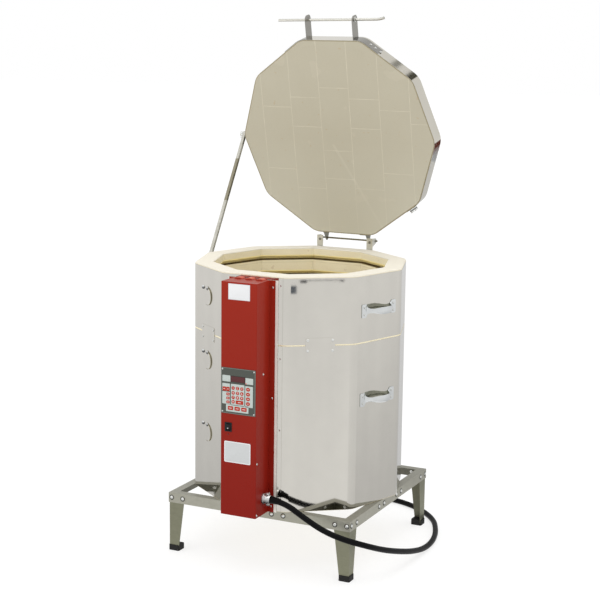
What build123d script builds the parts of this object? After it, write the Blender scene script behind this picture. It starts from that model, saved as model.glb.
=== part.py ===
from build123d import *
from math import atan2, cos, degrees, radians, sin, tan
import os

# Ten-sided electric kiln on a steel stand, in millimetres, +Z up. The origin is on the floor
# under the middle of the chamber, and the control box is towards -Y. Sides are named by the
# angle of their outward normal from -Y, so side 36 is the next one to the right of the box.

# Small round pieces that repeat are drawn with few sides, and round ones that show with more
small_sides = 12
fine_sides = 32

# Kiln body: 63.5 mm firebrick in a stainless jacket 720 mm across its flats
sides = 10
side_step = 360 / sides
jacket_apothem = 360.0
jacket_sheet = 0.8
bend_radius = 50.0
brick_fit = 0.3
brick_apothem = jacket_apothem - jacket_sheet - brick_fit
brick_corner = bend_radius - jacket_sheet - brick_fit
chamber_apothem = 297.0
brick_seam = 0.4

# Heights of the body: stand, floor slab, lower ring, upper ring of two 4 1/2 inch courses
stand_top = 210.0
slab_depth = 63.5
floor_pad, floor_pad_gap = 1.5, 0.5
course = 114.3
rim = 1011.4
upper_ring = 2 * course
ring_joint = rim - upper_ring
chamber_floor = stand_top + slab_depth
rim_chamfer = 2.5

# Jacket sheets leave a line of bare brick between the rings and a low brick rim on top
jacket_top = rim - 5.2
joint_line = 5.0
upper_jacket_base = ring_joint + 1.0
lower_jacket_top = upper_jacket_base - joint_line
lower_jacket_base = stand_top + 1.5

# Element grooves, two to a course, undercut so that the coil sits behind the lip
groove_pitch = course / 2
groove_height = 15.0
groove_depth = 16.0
groove_taper = 25.0
first_groove = rim - 44.0
upper_groove_count = 4
lower_groove_count = 8
coil_radius = 5.0
coil_apothem = 304.5
coil_rise = 5.4
coil_gap = 14.0
terminal_radius, terminal_end = 2.2, 378.0
window_margin = 20.0
thermocouple_x, thermocouple_z = 30.0, 640.0
thermocouple_radius, thermocouple_play = 4.0, 0.2
thermocouple_reach = 22.0
thermocouple_head_width, thermocouple_head_height, thermocouple_head = 28.0, 16.0, 9.0
thermocouple_head_shift = 5.0

# Peepholes in side -36, each behind a hanging disc
peephole_side = -36
peephole_heights = (908.0, 684.0, 428.0)
peephole_place = -6.0
peephole_radius = 12.5
disc_radius = 31.0
disc_sheet = 1.2
disc_air = 0.6
disc_lip = 6.0
pivot_rise = 27.0
pivot_radius = 2.0
running_gap = 0.06
pivot_head_radius = 5.0
pivot_head, pivot_head_gap = 3.0, 0.3
pivot_ear_rim = 2.5
stop_offset = 35.0
stop_radius = 7.0
stop_height = 6.0
dome_taper = 20.0

# Steel fittings on the jacket
plate_width, plate_height, plate_sheet, plate_corner = 100.0, 52.0, 1.2, 4.0
plate_screw_x, plate_screw_z = 42.0, 17.5
screw_radius = 4.0
screw_head = 2.4
seam_screw_x = 98.0
seam_screw_heights = (981.0, 736.0, 493.0, 250.0)

# Pull handles on two opposite sides
handle_sides = (72, -108)
handle_heights = (888.0, 584.0)
handle_width = 172.0
handle_foot = 25.0
handle_foot_height = 46.0
handle_reach = 42.0
handle_sheet = 2.5
handle_grip_height, handle_grip_half = 24.0, 24.0
handle_neck_height, handle_neck_half = 14.0, 50.0
handle_corner = 3.0
handle_screw_z = 12.0

# Stand: angle rails over four tapered angle legs with rubber boots
stand_half = 347.4
stand_shift = 9.0
rail_sheet = 2.5
rail_height = 35.0
rail_flange = 30.0
leg_sheet = 2.5
leg_top_width = 61.0
leg_foot_width = 35.0
leg_base = 4.0
boot_side = 40.0
boot_height = 20.0
boot_lip, boot_corner = 2.5, 3.0
bolt_head_radius = 6.5
bolt_head = 4.0
bolt_drop = 17.0
corner_bolts = (12.0, 56.0)
brace_middle = 78.0
brace_bolt_half = 22.0
corner_brace_half = 28.0
corner_brace_sheet = 2.5
corner_brace_tab = 26.0

# Lid: a brick slab in a stainless band, shown open on its back hinge
lid_apothem = 363.0
lid_corner = 70.0
lid_depth = 63.5
lid_seat = rim + 0.6
band_sheet = 1.0
band_inset = 1.0
band_clamp_side = 144
band_clamp_place = -67.0
band_clamp_length, band_clamp_width, band_clamp_sheet = 46.0, 24.0, 2.0
band_lug_place, band_lug_height = 9.0, 16.0
band_bolt_radius, band_bolt_length = 2.5, 34.0
hinge_y = 394.0
hinge_z = 1040.0
lid_open_angle = 77.5

# Lid handle: a round bar through two bent straps
strap_sheet = 2.0
strap_width = 46.0
strap_x = 92.0
strap_reach = 84.0
strap_top_corner = 16.0
bar_reach = 70.0
bar_radius = 4.75
bar_length = 412.0
bar_level = 25.0
bar_nut_radius = 9.0
strap_foot = 92.0
bar_play = 0.1
strap_screw_places = (-82.0, -62.0, -38.0)

# Back hinge: two joggled straps on the jacket, two angle straps on the lid, one rod
hinge_strap_width = 24.0
hinge_strap_x = 101.0
hinge_strap_sheet = 2.0
hinge_strap_low = 905.0
hinge_strap_top = 1052.0
hinge_strap_jog = 5.5
hinge_strap_screws = (14.0, 56.0)
hinge_ear = 10.0
hinge_ear_sheet = 2.5
hinge_rod_radius = 3.0
lid_strap_width = 24.0
lid_ear_x = 86.5
lid_ear_inset = 5.0
lid_strap_screw_inset, lid_strap_screw_half = 16.0, 17.0
push_nut_radius = 7.0
push_nut, push_nut_gap = 1.5, 0.3
rod_overhang = 7.0

# Lid brace: a slotted channel from the lid's left corner to a stud on the body
brace_x = -388.0
brace_depth = 10.0
brace_width = 13.0
brace_sheet = 1.5
brace_length = 540.0
brace_pivot_y = 306.1
brace_pivot_z = 1417.9
brace_guide_y = 40.9
brace_guide_z = 985.0
brace_overhang = 12.0
brace_slot, brace_slot_ends = 7.0, 64.0
brace_bolt_radius, brace_bolt_spare = 3.0, 12.0
brace_bracket_sheet = 2.5
brace_bracket_half = 22.0
brace_bracket_low = 12.0
brace_bracket_tall = 24.0
brace_boss_radius = 7.0
brace_play = 0.3
nut_hub_radius, nut_hub = 5.5, 6.0
nut_wing_span, nut_wing_sheet, nut_wing_reach = 26.0, 3.0, 9.0
guide_side = -108
guide_plate_width, guide_plate_height, guide_plate_sheet = 46.0, 36.0, 2.5
guide_drop = 14.0
guide_stud_inset = 11.0

# Control box in front of side 0
box_middle = -6.0
box_width = 132.0
box_front = -456.0
box_base = 206.0
box_top = 997.5
box_sheet = 1.5
box_bend = 3.0
flange_width = 20.0
back_plate_left, back_plate_right = -96.0, 90.0
box_screw_heights = (973.0, 600.0, 226.0)
box_screw_inset = 11.0
side_screws = ((-407.0, 689.0), (-448.0, 393.0), (-448.0, 216.0))
back_plate_sheet = 1.5
sheet_gap = 0.2
louvre_centres = (-45.0, -6.0, 33.0)
louvre_chord = 15.0
louvre_rise = 5.5
louvre_length = 26.0

# Controller panel, switch and lamp on the front of the box
panel_width, panel_height, panel_sheet = 128.0, 155.0, 1.5
panel_middle_z, panel_lap = 633.5, 7.0
panel_screw_x, panel_screw_z = 58.5, 71.5
display_x, display_z = -7.0, 674.5
display_width, display_height = 52.0, 18.0
display_proud = 0.8
panel_screw_radius, panel_screw_head = 3.2, 1.6
board_width, board_height, board_sheet = 118.0, 142.0, 1.6
board_post, board_post_side, board_post_inset = 12.0, 6.0, 5.0
board_parts = [(-28.0, 38.0, 34.0, 30.0), (22.0, 30.0, 28.0, 14.0), (0.0, -46.0, 80.0, 12.0)]
board_parts_depth = 12.0
relay_x, relay_heights = -53.0, (352.0, 396.0, 440.0)
relay_width, relay_height, relay_depth = 30.0, 36.0, 28.0
relay_tab_sheet, relay_tab_width, relay_tab = 1.0, 6.0, 8.0
transformer_x, transformer_z = -32.0, 262.0
core_width, core_height, core_depth = 48.0, 40.0, 20.0
winding_width, winding_depth = 30.0, 10.0
terminal_x, terminal_z = 26.0, 266.0
block_width, block_height, block_depth = 36.0, 54.0, 12.0
block_rib, block_rib_depth, block_pitch, block_ribs = 2.0, 8.0, 13.0, 5
switch_x, switch_z = -43.0, 509.5
switch_width, switch_height = 26.0, 31.0
switch_bezel, switch_lap = 2.0, 2.0
switch_depth, switch_wall = 20.0, 2.0
socket_gap = 0.1
rocker_width, rocker_radius = 16.6, 12.0
rocker_set_back = 4.0
rocker_tilt = 9.0
rocker_gap = 0.4
rocker_outline = [
    (-7.2, 0),
    (-8.5, 8.4),
    (-4.5, 11.1),
    (0, rocker_radius),
    (5, 10.8),
    (5, -10.8),
    (0, -rocker_radius),
    (-4.5, -11.1),
    (-8.5, -8.4),
]
rocker_pin, rocker_pin_reach = 1.5, 1.2
lamp_x, lamp_z = -44.0, 484.0
lamp_radius, lamp_play, lamp_edge = 2.5, 0.1, 1.0
lamp_back, lamp_length = 6.0, 8.0

# Mains cord: from the clamp on the right of the box, past the right front leg to the floor,
# round the right back leg and along behind the kiln to its plug
cord_radius = 10.0
clamp_y, clamp_z = -399.0, 262.0
clamp_barrel_radius, clamp_length = 14.5, 28.0
clamp_flange_radius, clamp_flange = 18.0, 6.0
saddle_height, saddle_width, saddle_corner = 46.0, 13.0, 4.0
saddle_start, saddle_length = 11.0, 12.0
saddle_screw, saddle_screw_place, saddle_screw_head = 3.5, 17.5, 3.0
cord_route = [
    (88.8, -399, 262),
    (140, -399, 258),
    (206, -401, 222),
    (280, -402, 186),
    (352, -399, 166),
    (412, -357, 142),
    (440, -262, 101),
    (456, -160, 66),
    (466, -60, 36),
    (471, 38, 15),
    (468, 126, 10.4),
    (450, 212, 10.4),
    (420, 292, 10.4),
    (388, 358, 10.4),
    (336, 422, 10.4),
    (268, 478, 10.4),
    (186, 516, 10.4),
    (96, 530, 10.4),
    (4, 522, 10.4),
    (-84, 500, 10.4),
    (-158, 470, 14),
    (-222, 432, 20),
]
cord_reach = 0.45
cord_facets = 6
plug_length, plug_corner, plug_edge = 62.0, 12.0, 3.0
plug_width, plug_height = 48.0, 40.0
plug_neck, plug_neck_radius, plug_neck_taper, plug_neck_join = 13.0, 15.0, -4.0, 4.0
blade_length = 22.0
blade_width, blade_sheet = 12.7, 1.9
blade_level = 12.0
blade_places = (14.0, 38.0)
earth_pin, earth_pin_spare = 3.6, 4.0
earth_place = 52.0


def side_plane(angle, out, height):
    """Plane on one side of the body, its X to the right as seen from outside and its Y up."""
    turn = radians(angle)
    outward = Vector(sin(turn), -cos(turn), 0)
    return Plane(
        origin=outward * out + Vector(0, 0, height),
        x_dir=(cos(turn), sin(turn), 0),
        z_dir=(outward.X, outward.Y, 0),
    )


def opened(y, z):
    """Where a point of the closed lid is when the lid stands open."""
    turn = radians(lid_open_angle)
    dy, dz = y - hinge_y, z - hinge_z
    return (hinge_y + dy * cos(turn) + dz * sin(turn), hinge_z - dy * sin(turn) + dz * cos(turn))


def lid_plane(level):
    """Plane across the open lid, level millimetres above its hot face, its Y to the hinge."""
    turn = radians(lid_open_angle)
    return Plane(
        origin=(0, *opened(0, lid_seat + level)),
        x_dir=(1, 0, 0),
        z_dir=(0, sin(turn), cos(turn)),
    )


def lid_upright(x):
    """Plane along the open lid at one x, its X away from the hinge and its Y off the hot face."""
    turn = radians(lid_open_angle)
    return Plane(
        origin=(x, *opened(0, lid_seat)),
        x_dir=(0, -cos(turn), sin(turn)),
        z_dir=(-1, 0, 0),
    )


def decagon(apothem, corner, mode=Mode.ADD):
    """Ten-sided outline with its corners rolled to a radius; none leaves them sharp."""
    with BuildSketch(Plane.XY, mode=Mode.PRIVATE) as outline:
        RegularPolygon(apothem, sides, major_radius=False)
        if corner:
            fillet(outline.vertices(), corner)
    return add(outline.sketch, mode=mode)


def save(piece, name):
    """Label one finished piece and write its file."""
    piece.part.label = name
    export_step(piece.part, f"parts/{name}.step")


# Stand rails: front and back run the full width, the side rails fit between them
rail_low = stand_top - rail_height
side_half = stand_half - rail_sheet


def rail_face(angle, depth):
    """Plane on a rail's outer face, moved inwards by depth, at floor level."""
    plane = side_plane(angle, stand_half - depth, 0)
    plane.origin = plane.origin + Vector(stand_shift, 0, 0)
    return plane


rail_names = {
    0: "stand_front_rail",
    90: "stand_right_rail",
    180: "stand_back_rail",
    -90: "stand_left_rail",
}
for angle, name in rail_names.items():
    runs_through = angle in (0, 180)
    face_half = stand_half if runs_through else side_half
    flange_half = side_half if runs_through else stand_half - rail_flange
    with BuildPart() as rail:
        with BuildSketch(rail_face(angle, 0)):
            with Locations((0, (rail_low + stand_top) / 2)):
                Rectangle(2 * face_half, rail_height)
        extrude(amount=-rail_sheet)
        with BuildSketch(rail_face(angle, rail_sheet)):
            with Locations((0, stand_top - rail_sheet / 2)):
                Rectangle(2 * flange_half, rail_sheet)
        extrude(amount=rail_sheet - rail_flange)
    save(rail, name)

# Legs: two tapered faces folded along the corner, inside the rails
leg_names = {
    (1, -1): "stand_leg_front_right",
    (-1, -1): "stand_leg_front_left",
    (1, 1): "stand_leg_back_right",
    (-1, 1): "stand_leg_back_left",
}
leg_top = stand_top - rail_sheet
for (side_x, side_y), name in leg_names.items():
    front_angle = 0 if side_y < 0 else 180
    side_angle = 90 * side_x
    with BuildPart() as leg:
        for angle in (front_angle, side_angle):
            # the plane's own X runs to +X at the front, to -X at the back, and along Y at the sides
            along = side_x if angle == 0 else -side_x if angle == 180 else side_y * side_x
            outer = side_half * along
            with BuildSketch(rail_face(angle, rail_sheet)):
                with BuildLine():
                    Polyline(
                        (outer, leg_base),
                        (outer, leg_top),
                        (outer - along * leg_top_width, leg_top),
                        (outer - along * leg_foot_width, leg_base),
                        close=True,
                    )
                make_face()
            extrude(amount=-leg_sheet)
    save(leg, name)

# Rubber boots, one pushed on each leg
with BuildPart() as boots:
    for side_x, side_y in leg_names:
        corner_x = stand_shift + side_x * (side_half + boot_lip)
        corner_y = side_y * (side_half + boot_lip)
        with BuildSketch(Plane.XY) as sole:
            with Locations((corner_x - side_x * boot_side / 2, corner_y - side_y * boot_side / 2)):
                Rectangle(boot_side, boot_side)
            chamfer(sole.vertices(), boot_corner)
        extrude(amount=boot_height)
        with BuildSketch(Plane.XY.offset(leg_base)):
            with BuildLine():
                inner_x = corner_x - side_x * boot_lip
                inner_y = corner_y - side_y * boot_lip
                reach_x = inner_x - side_x * leg_top_width
                reach_y = inner_y - side_y * leg_top_width
                Polyline(
                    (inner_x, inner_y),
                    (reach_x, inner_y),
                    (reach_x, inner_y - side_y * leg_sheet),
                    (inner_x - side_x * leg_sheet, inner_y - side_y * leg_sheet),
                    (inner_x - side_x * leg_sheet, reach_y),
                    (inner_x, reach_y),
                    close=True,
                )
            make_face()
        extrude(amount=boot_height, mode=Mode.SUBTRACT)
save(boots, "stand_boots")

# Corner braces: flat strips under the rails' flanges, with a bolted tab at each end
strip_top = stand_top - rail_sheet
strip_out = side_half - corner_brace_sheet
with BuildPart() as corner_braces:
    for side_x, side_y in leg_names:
        near, far = brace_middle - corner_brace_half, brace_middle + corner_brace_half
        with BuildSketch(Plane.XY.offset(strip_top)):
            with BuildLine():
                Polyline(
                    (stand_shift + side_x * near, side_y * side_half),
                    (stand_shift + side_x * far, side_y * side_half),
                    (stand_shift + side_x * side_half, side_y * far),
                    (stand_shift + side_x * side_half, side_y * near),
                    close=True,
                )
            make_face()
        extrude(amount=-corner_brace_sheet)
        front_angle = 0 if side_y < 0 else 180
        for angle in (front_angle, 90 * side_x):
            along = side_x if angle == 0 else -side_x if angle == 180 else side_y * side_x
            with BuildSketch(rail_face(angle, rail_sheet)):
                with Locations((along * brace_middle, strip_top - corner_brace_tab / 2)):
                    Rectangle(2 * corner_brace_half, corner_brace_tab)
            extrude(amount=-corner_brace_sheet)
save(corner_braces, "stand_corner_braces")

# Stand bolts: hexagon heads outside the rails, and nuts inside, except in the tapped corners
corner_bolt, leg_bolt = [stand_half - drop for drop in corner_bolts]
nut_offsets = [leg_bolt, brace_middle + brace_bolt_half, brace_middle - brace_bolt_half]
bolt_rows = [
    (0, bolt_head, [corner_bolt, *nut_offsets]),
    (rail_sheet + leg_sheet, -bolt_head, nut_offsets),
]
with BuildPart() as stand_bolts:
    for angle in rail_names:
        for depth, length, offsets in bolt_rows:
            with BuildSketch(rail_face(angle, depth)):
                with Locations(*[(sign * x, stand_top - bolt_drop) for sign in (-1, 1) for x in offsets]):
                    RegularPolygon(bolt_head_radius, 6)
            extrude(amount=length)
save(stand_bolts, "stand_bolts")

# Floor slab of the chamber, standing on the rails, with its face raised inside the walls
with BuildPart() as floor_slab:
    with BuildSketch(Plane.XY.offset(stand_top)):
        decagon(brick_apothem, brick_corner)
    extrude(amount=slab_depth)
    with BuildSketch(Plane.XY.offset(chamber_floor)):
        decagon(chamber_apothem - floor_pad_gap, 0)
    extrude(amount=floor_pad)
save(floor_slab, "floor_slab")


# Brick rings: ten stacks each, with the element grooves cut round their inner face
def brick_ring(low, high, grooves, chamfered):
    """One ring of ten brick stacks with undercut grooves and its peepholes."""
    with BuildPart() as ring:
        with BuildSketch(Plane.XY.offset(low)):
            decagon(brick_apothem, brick_corner)
            decagon(chamber_apothem, 0, mode=Mode.SUBTRACT)
        extrude(amount=high - low)
        if chamfered:
            chamfer(ring.faces().sort_by(Axis.Z)[-1].edges(), rim_chamfer)
        for level in grooves:
            with BuildSketch(Plane.XY.offset(level)):
                decagon(chamber_apothem + groove_depth, 0)
            extrude(amount=groove_height, taper=groove_taper, mode=Mode.SUBTRACT)
        for height in peephole_heights:
            if low < height < high:
                with BuildSketch(side_plane(peephole_side, jacket_apothem, height)):
                    with Locations((peephole_place, 0)):
                        RegularPolygon(peephole_radius, fine_sides)
                extrude(amount=chamber_apothem - jacket_apothem - groove_depth, mode=Mode.SUBTRACT)
        if low < thermocouple_z < high:
            with BuildSketch(side_plane(0, jacket_apothem, thermocouple_z)):
                with Locations((thermocouple_x, 0)):
                    RegularPolygon(thermocouple_radius + thermocouple_play, small_sides)
            extrude(amount=chamber_apothem - jacket_apothem - groove_depth, mode=Mode.SUBTRACT)
        with BuildSketch(Plane.XY.offset(low)):
            with PolarLocations(0, sides // 2, angular_range=180):
                Rectangle(3 * jacket_apothem, brick_seam)
        extrude(amount=high - low, mode=Mode.SUBTRACT)
    return ring


upper_grooves = [first_groove - step * groove_pitch for step in range(upper_groove_count)]
lower_first = upper_grooves[-1] - groove_pitch
lower_grooves = [lower_first - step * groove_pitch for step in range(lower_groove_count)]
save(brick_ring(ring_joint, rim, upper_grooves, True), "upper_brick_wall")
save(brick_ring(chamber_floor, ring_joint, lower_grooves, False), "lower_brick_wall")


# Heating elements: one coil round each groove, open at the control box side
def element_loops(grooves):
    """Loops of coiled wire, each taken as a rod of the coil's outside size."""
    circle = coil_apothem / cos(radians(side_step / 2))
    corners = [side_step * (step + 0.5) for step in range(sides)]
    with BuildPart() as loops:
        for level in grooves:
            height = level + coil_rise
            start = (coil_gap, -coil_apothem, height)
            ring = [(circle * sin(radians(a)), -circle * cos(radians(a)), height) for a in corners]
            with BuildLine():
                Polyline(start, *ring, (-coil_gap, -coil_apothem, height))
            with BuildSketch(Plane(origin=start, x_dir=(0, 0, 1), z_dir=(1, 0, 0))):
                RegularPolygon(coil_radius, 4)
            sweep(transition=Transition.RIGHT)
    return loops


save(element_loops(upper_grooves), "upper_heating_elements")
save(element_loops(lower_grooves), "lower_heating_elements")


# Window in the jackets and the box's back plate, for the ends of the elements
window_middle = (upper_grooves[0] + lower_grooves[-1]) / 2 + coil_rise
window_height = upper_grooves[0] - lower_grooves[-1] + 2 * window_margin
window_width = 5 * coil_gap


# Stainless jackets
def jacket(low, high):
    """One ring's jacket: thin sheet folded round the bricks, with its peepholes."""
    with BuildPart() as sheet:
        with BuildSketch(Plane.XY.offset(low)):
            decagon(jacket_apothem, bend_radius)
            decagon(jacket_apothem - jacket_sheet, bend_radius - jacket_sheet, mode=Mode.SUBTRACT)
        extrude(amount=high - low)
        for height in peephole_heights:
            if low < height < high:
                with BuildSketch(side_plane(peephole_side, jacket_apothem, height)):
                    with Locations((peephole_place, 0)):
                        RegularPolygon(peephole_radius, fine_sides)
                extrude(amount=-2 * jacket_sheet, mode=Mode.SUBTRACT)
        with BuildSketch(side_plane(0, jacket_apothem, window_middle)):
            Rectangle(window_width, window_height)
        extrude(amount=-2 * jacket_sheet, mode=Mode.SUBTRACT)
    return sheet


save(jacket(upper_jacket_base, jacket_top), "upper_jacket")
save(jacket(lower_jacket_base, lower_jacket_top), "lower_jacket")

# Plates that tie the two rings together, over the joint line
joint_middle = ring_joint - joint_line / 2
plate_sides = (36, -36, 144, -144)
with BuildPart() as joint_plates:
    for angle in plate_sides:
        with BuildSketch(side_plane(angle, jacket_apothem, joint_middle)) as plate:
            Rectangle(plate_width, plate_height)
            chamfer(plate.vertices(), plate_corner)
        extrude(amount=plate_sheet)
save(joint_plates, "ring_joint_plates")


# Pull handles: one bent strip each, wide at the grip and narrow at the necks
def lift_handle(angle, height):
    """The handle on one side of the body at one height."""
    half = handle_width / 2
    foot = half - handle_foot
    flat = side_plane(angle, jacket_apothem, height)
    level = Plane(origin=flat.origin, x_dir=flat.x_dir, z_dir=(0, 0, 1))
    with BuildPart() as handle:
        with BuildSketch(level.offset(-handle_foot_height / 2)):
            with BuildLine():
                Polyline((-foot, 0), (-half, 0), (-half, -handle_sheet), (-foot, -handle_sheet))
                ThreePointArc((-foot, -handle_sheet), (0, -handle_reach), (foot, -handle_sheet))
                Polyline((foot, -handle_sheet), (half, -handle_sheet), (half, 0), (foot, 0))
                ThreePointArc((foot, 0), (0, handle_sheet - handle_reach), (-foot, 0))
            make_face()
        extrude(amount=handle_foot_height)
        with BuildSketch(flat) as front:
            with Locations((-half + handle_foot / 2, 0), (half - handle_foot / 2, 0)):
                Rectangle(handle_foot, handle_foot_height)
            chamfer(front.vertices(), handle_corner)
            Rectangle(2 * foot, handle_neck_height)
            with BuildLine():
                Polyline(
                    (-handle_neck_half, 0),
                    (-handle_grip_half, handle_grip_height / 2),
                    (handle_grip_half, handle_grip_height / 2),
                    (handle_neck_half, 0),
                    (handle_grip_half, -handle_grip_height / 2),
                    (-handle_grip_half, -handle_grip_height / 2),
                    close=True,
                )
            make_face()
        extrude(amount=2 * handle_reach, mode=Mode.INTERSECT)
    return handle


for name, height in zip(("upper", "lower"), handle_heights):
    with BuildPart() as lift_handles:
        for angle in handle_sides:
            add(lift_handle(angle, height).part)
    save(lift_handles, f"{name}_lift_handles")


# Peephole covers: polished discs that hang from a screw near their edge
def peephole_cover(height):
    """One disc with its pivot ear and a finger lip at the bottom."""
    face = side_plane(peephole_side, jacket_apothem + disc_air, height)
    face.origin = face.origin + face.x_dir * peephole_place
    with BuildPart() as disc:
        with BuildSketch(face):
            RegularPolygon(disc_radius, fine_sides)
            with Locations((0, pivot_rise)):
                RegularPolygon(pivot_head_radius + pivot_ear_rim, small_sides)
                bore = pivot_radius + running_gap
                RegularPolygon(bore, small_sides, major_radius=False, mode=Mode.SUBTRACT)
        extrude(amount=disc_sheet)
        with BuildSketch(face):
            with Locations((0, disc_sheet - disc_radius)):
                Rectangle(disc_radius / 2, disc_sheet)
        extrude(amount=disc_lip)
    return disc


for name, height in zip(("upper", "middle", "lower"), peephole_heights):
    save(peephole_cover(height), f"peephole_cover_{name}")

# Pivot screws of the covers, and the domed stops beside them
with BuildPart() as peephole_screws:
    for height in peephole_heights:
        seat = side_plane(peephole_side, jacket_apothem, height + pivot_rise)
        seat.origin = seat.origin + seat.x_dir * peephole_place
        shank = disc_air + disc_sheet + pivot_head_gap
        with BuildSketch(seat):
            RegularPolygon(pivot_radius, small_sides)
        extrude(amount=shank)
        with BuildSketch(seat.offset(shank)):
            RegularPolygon(pivot_head_radius, 8)
        extrude(amount=pivot_head, taper=dome_taper)
        with BuildSketch(seat):
            with Locations((-stop_offset, 0)):
                RegularPolygon(stop_radius, 8)
        extrude(amount=stop_height, taper=dome_taper)
save(peephole_screws, "peephole_screws")

# Hexagon washer-head screws in the jacket: joint plates, handles, seam and hinge straps
with BuildPart() as jacket_screws:
    for angle in plate_sides:
        with BuildSketch(side_plane(angle, jacket_apothem + plate_sheet, joint_middle)):
            with GridLocations(2 * plate_screw_x, 2 * plate_screw_z, 2, 2):
                RegularPolygon(screw_radius, 6)
        extrude(amount=screw_head)
    for angle in handle_sides:
        for height in handle_heights:
            with BuildSketch(side_plane(angle, jacket_apothem + handle_sheet, height)):
                with GridLocations(handle_width - handle_foot, 2 * handle_screw_z, 2, 2):
                    RegularPolygon(screw_radius, 6)
            extrude(amount=screw_head)
    for height in seam_screw_heights:
        with BuildSketch(side_plane(0, jacket_apothem, height)):
            with Locations((seam_screw_x, 0)):
                RegularPolygon(screw_radius, 6)
        extrude(amount=screw_head)
    for rise in hinge_strap_screws:
        strap_face = side_plane(180, jacket_apothem + hinge_strap_sheet, hinge_strap_low + rise)
        with BuildSketch(strap_face):
            with Locations((-hinge_strap_x, 0), (hinge_strap_x, 0)):
                RegularPolygon(screw_radius, 6)
        extrude(amount=screw_head)
save(jacket_screws, "jacket_screws")

# Thermocouple: a porcelain tube through the front wall, with its head on the back plate
plate_out = jacket_apothem + sheet_gap + back_plate_sheet
tube_start = chamber_apothem - thermocouple_reach
with BuildPart() as thermocouple:
    with BuildSketch(Plane.XZ.offset(tube_start)):
        with Locations((thermocouple_x, thermocouple_z)):
            RegularPolygon(thermocouple_radius, small_sides)
    extrude(amount=plate_out - tube_start)
    with BuildSketch(Plane.XZ.offset(plate_out)):
        with Locations((thermocouple_x + thermocouple_head_shift, thermocouple_z)):
            Rectangle(thermocouple_head_width, thermocouple_head_height)
    extrude(amount=thermocouple_head)
save(thermocouple, "thermocouple")

# Ends of the elements, where they stand out of the front wall behind the box
with BuildPart() as element_terminals:
    for height in [level + coil_rise for level in upper_grooves + lower_grooves]:
        with BuildSketch(Plane.XZ.offset(brick_apothem)):
            with Locations((-coil_gap, height), (coil_gap, height)):
                RegularPolygon(terminal_radius, 4)
        extrude(amount=terminal_end - brick_apothem)
save(element_terminals, "element_terminals")

# Lid slab of firebrick
with BuildPart() as lid_slab:
    with BuildSketch(lid_plane(0)):
        decagon(lid_apothem - band_sheet - brick_fit, lid_corner - band_sheet - brick_fit)
    extrude(amount=lid_depth)
save(lid_slab, "lid_slab")

# Stainless band round the lid's edge
with BuildPart() as lid_band:
    with BuildSketch(lid_plane(band_inset)):
        decagon(lid_apothem, lid_corner)
        decagon(lid_apothem - band_sheet, lid_corner - band_sheet, mode=Mode.SUBTRACT)
    extrude(amount=lid_depth - 2 * band_inset)
save(lid_band, "lid_band")


def lid_side_plane(angle, out, level):
    """Plane on one side of the open lid, its X along the band and its Y off the hot face."""
    turn = radians(angle)
    tilt = radians(lid_open_angle)
    across = Vector(cos(turn), sin(turn), 0)
    outward = Vector(sin(turn), -cos(turn), 0)
    origin_y, origin_z = opened(outward.Y * out, lid_seat + level)
    return Plane(
        origin=(outward.X * out, origin_y, origin_z),
        x_dir=(across.X, across.Y * cos(tilt), -across.Y * sin(tilt)),
        z_dir=(outward.X, outward.Y * cos(tilt), -outward.Y * sin(tilt)),
    )


# Clamp that closes the band: two lugs drawn together by a bolt
with BuildPart() as lid_band_clamp:
    clamp_face = lid_side_plane(band_clamp_side, lid_apothem, lid_depth / 2)
    with BuildSketch(clamp_face):
        with Locations((band_clamp_place, 0)):
            Rectangle(band_clamp_length, band_clamp_width)
    extrude(amount=band_clamp_sheet)
    with BuildSketch(clamp_face):
        with Locations((band_clamp_place - band_lug_place, 0), (band_clamp_place + band_lug_place, 0)):
            Rectangle(band_clamp_sheet, band_clamp_width)
    extrude(amount=band_lug_height)
    bolt_start = Vector(band_clamp_place - band_bolt_length / 2, 0, band_lug_height / 2)
    with BuildSketch(Plane(
        origin=clamp_face.from_local_coords(bolt_start),
        x_dir=clamp_face.y_dir,
        z_dir=clamp_face.x_dir,
    )):
        RegularPolygon(band_bolt_radius, 6)
    extrude(amount=band_bolt_length)
save(lid_band_clamp, "lid_band_clamp")

# Straps of the lid handle: a foot bent round the corner of the band, then straight out
for side, name in ((-1, "lid_handle_strap_left"), (1, "lid_handle_strap_right")):
    with BuildPart() as handle_strap:
        with BuildSketch(lid_plane(bar_level - strap_width / 2)):
            decagon(lid_apothem + strap_sheet, lid_corner + strap_sheet)
            decagon(lid_apothem, lid_corner, mode=Mode.SUBTRACT)
            with Locations((side * (strap_x - strap_sheet + strap_foot / 2), -lid_apothem)):
                Rectangle(strap_foot, lid_apothem / 2, mode=Mode.INTERSECT)
        extrude(amount=strap_width)
        with BuildSketch(lid_upright(side * (strap_x - strap_sheet / 2)).offset(-strap_sheet / 2)):
            with BuildLine():
                low, high = bar_level - strap_width / 2, bar_level + strap_width / 2
                root, tip = lid_apothem, lid_apothem + strap_reach
                Polyline((root, low), (tip, low), (tip, high), (root, high), close=True)
            make_face()
            fillet(
                [v for v in vertices() if v.X > lid_apothem + 1],
                strap_top_corner,
            )
            with Locations((lid_apothem + bar_reach, bar_level)):
                bore = bar_radius + bar_play
                RegularPolygon(bore, small_sides, major_radius=False, mode=Mode.SUBTRACT)
        extrude(amount=strap_sheet)
    save(handle_strap, name)

# Handle bar through the straps
bar_centre = opened(-lid_apothem - bar_reach, lid_seat + bar_level)
with BuildPart() as handle_bar:
    with BuildSketch(Plane(origin=(-bar_length / 2, *bar_centre), z_dir=(1, 0, 0))):
        Circle(bar_radius)
    extrude(amount=bar_length)
save(handle_bar, "lid_handle_bar")

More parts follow.
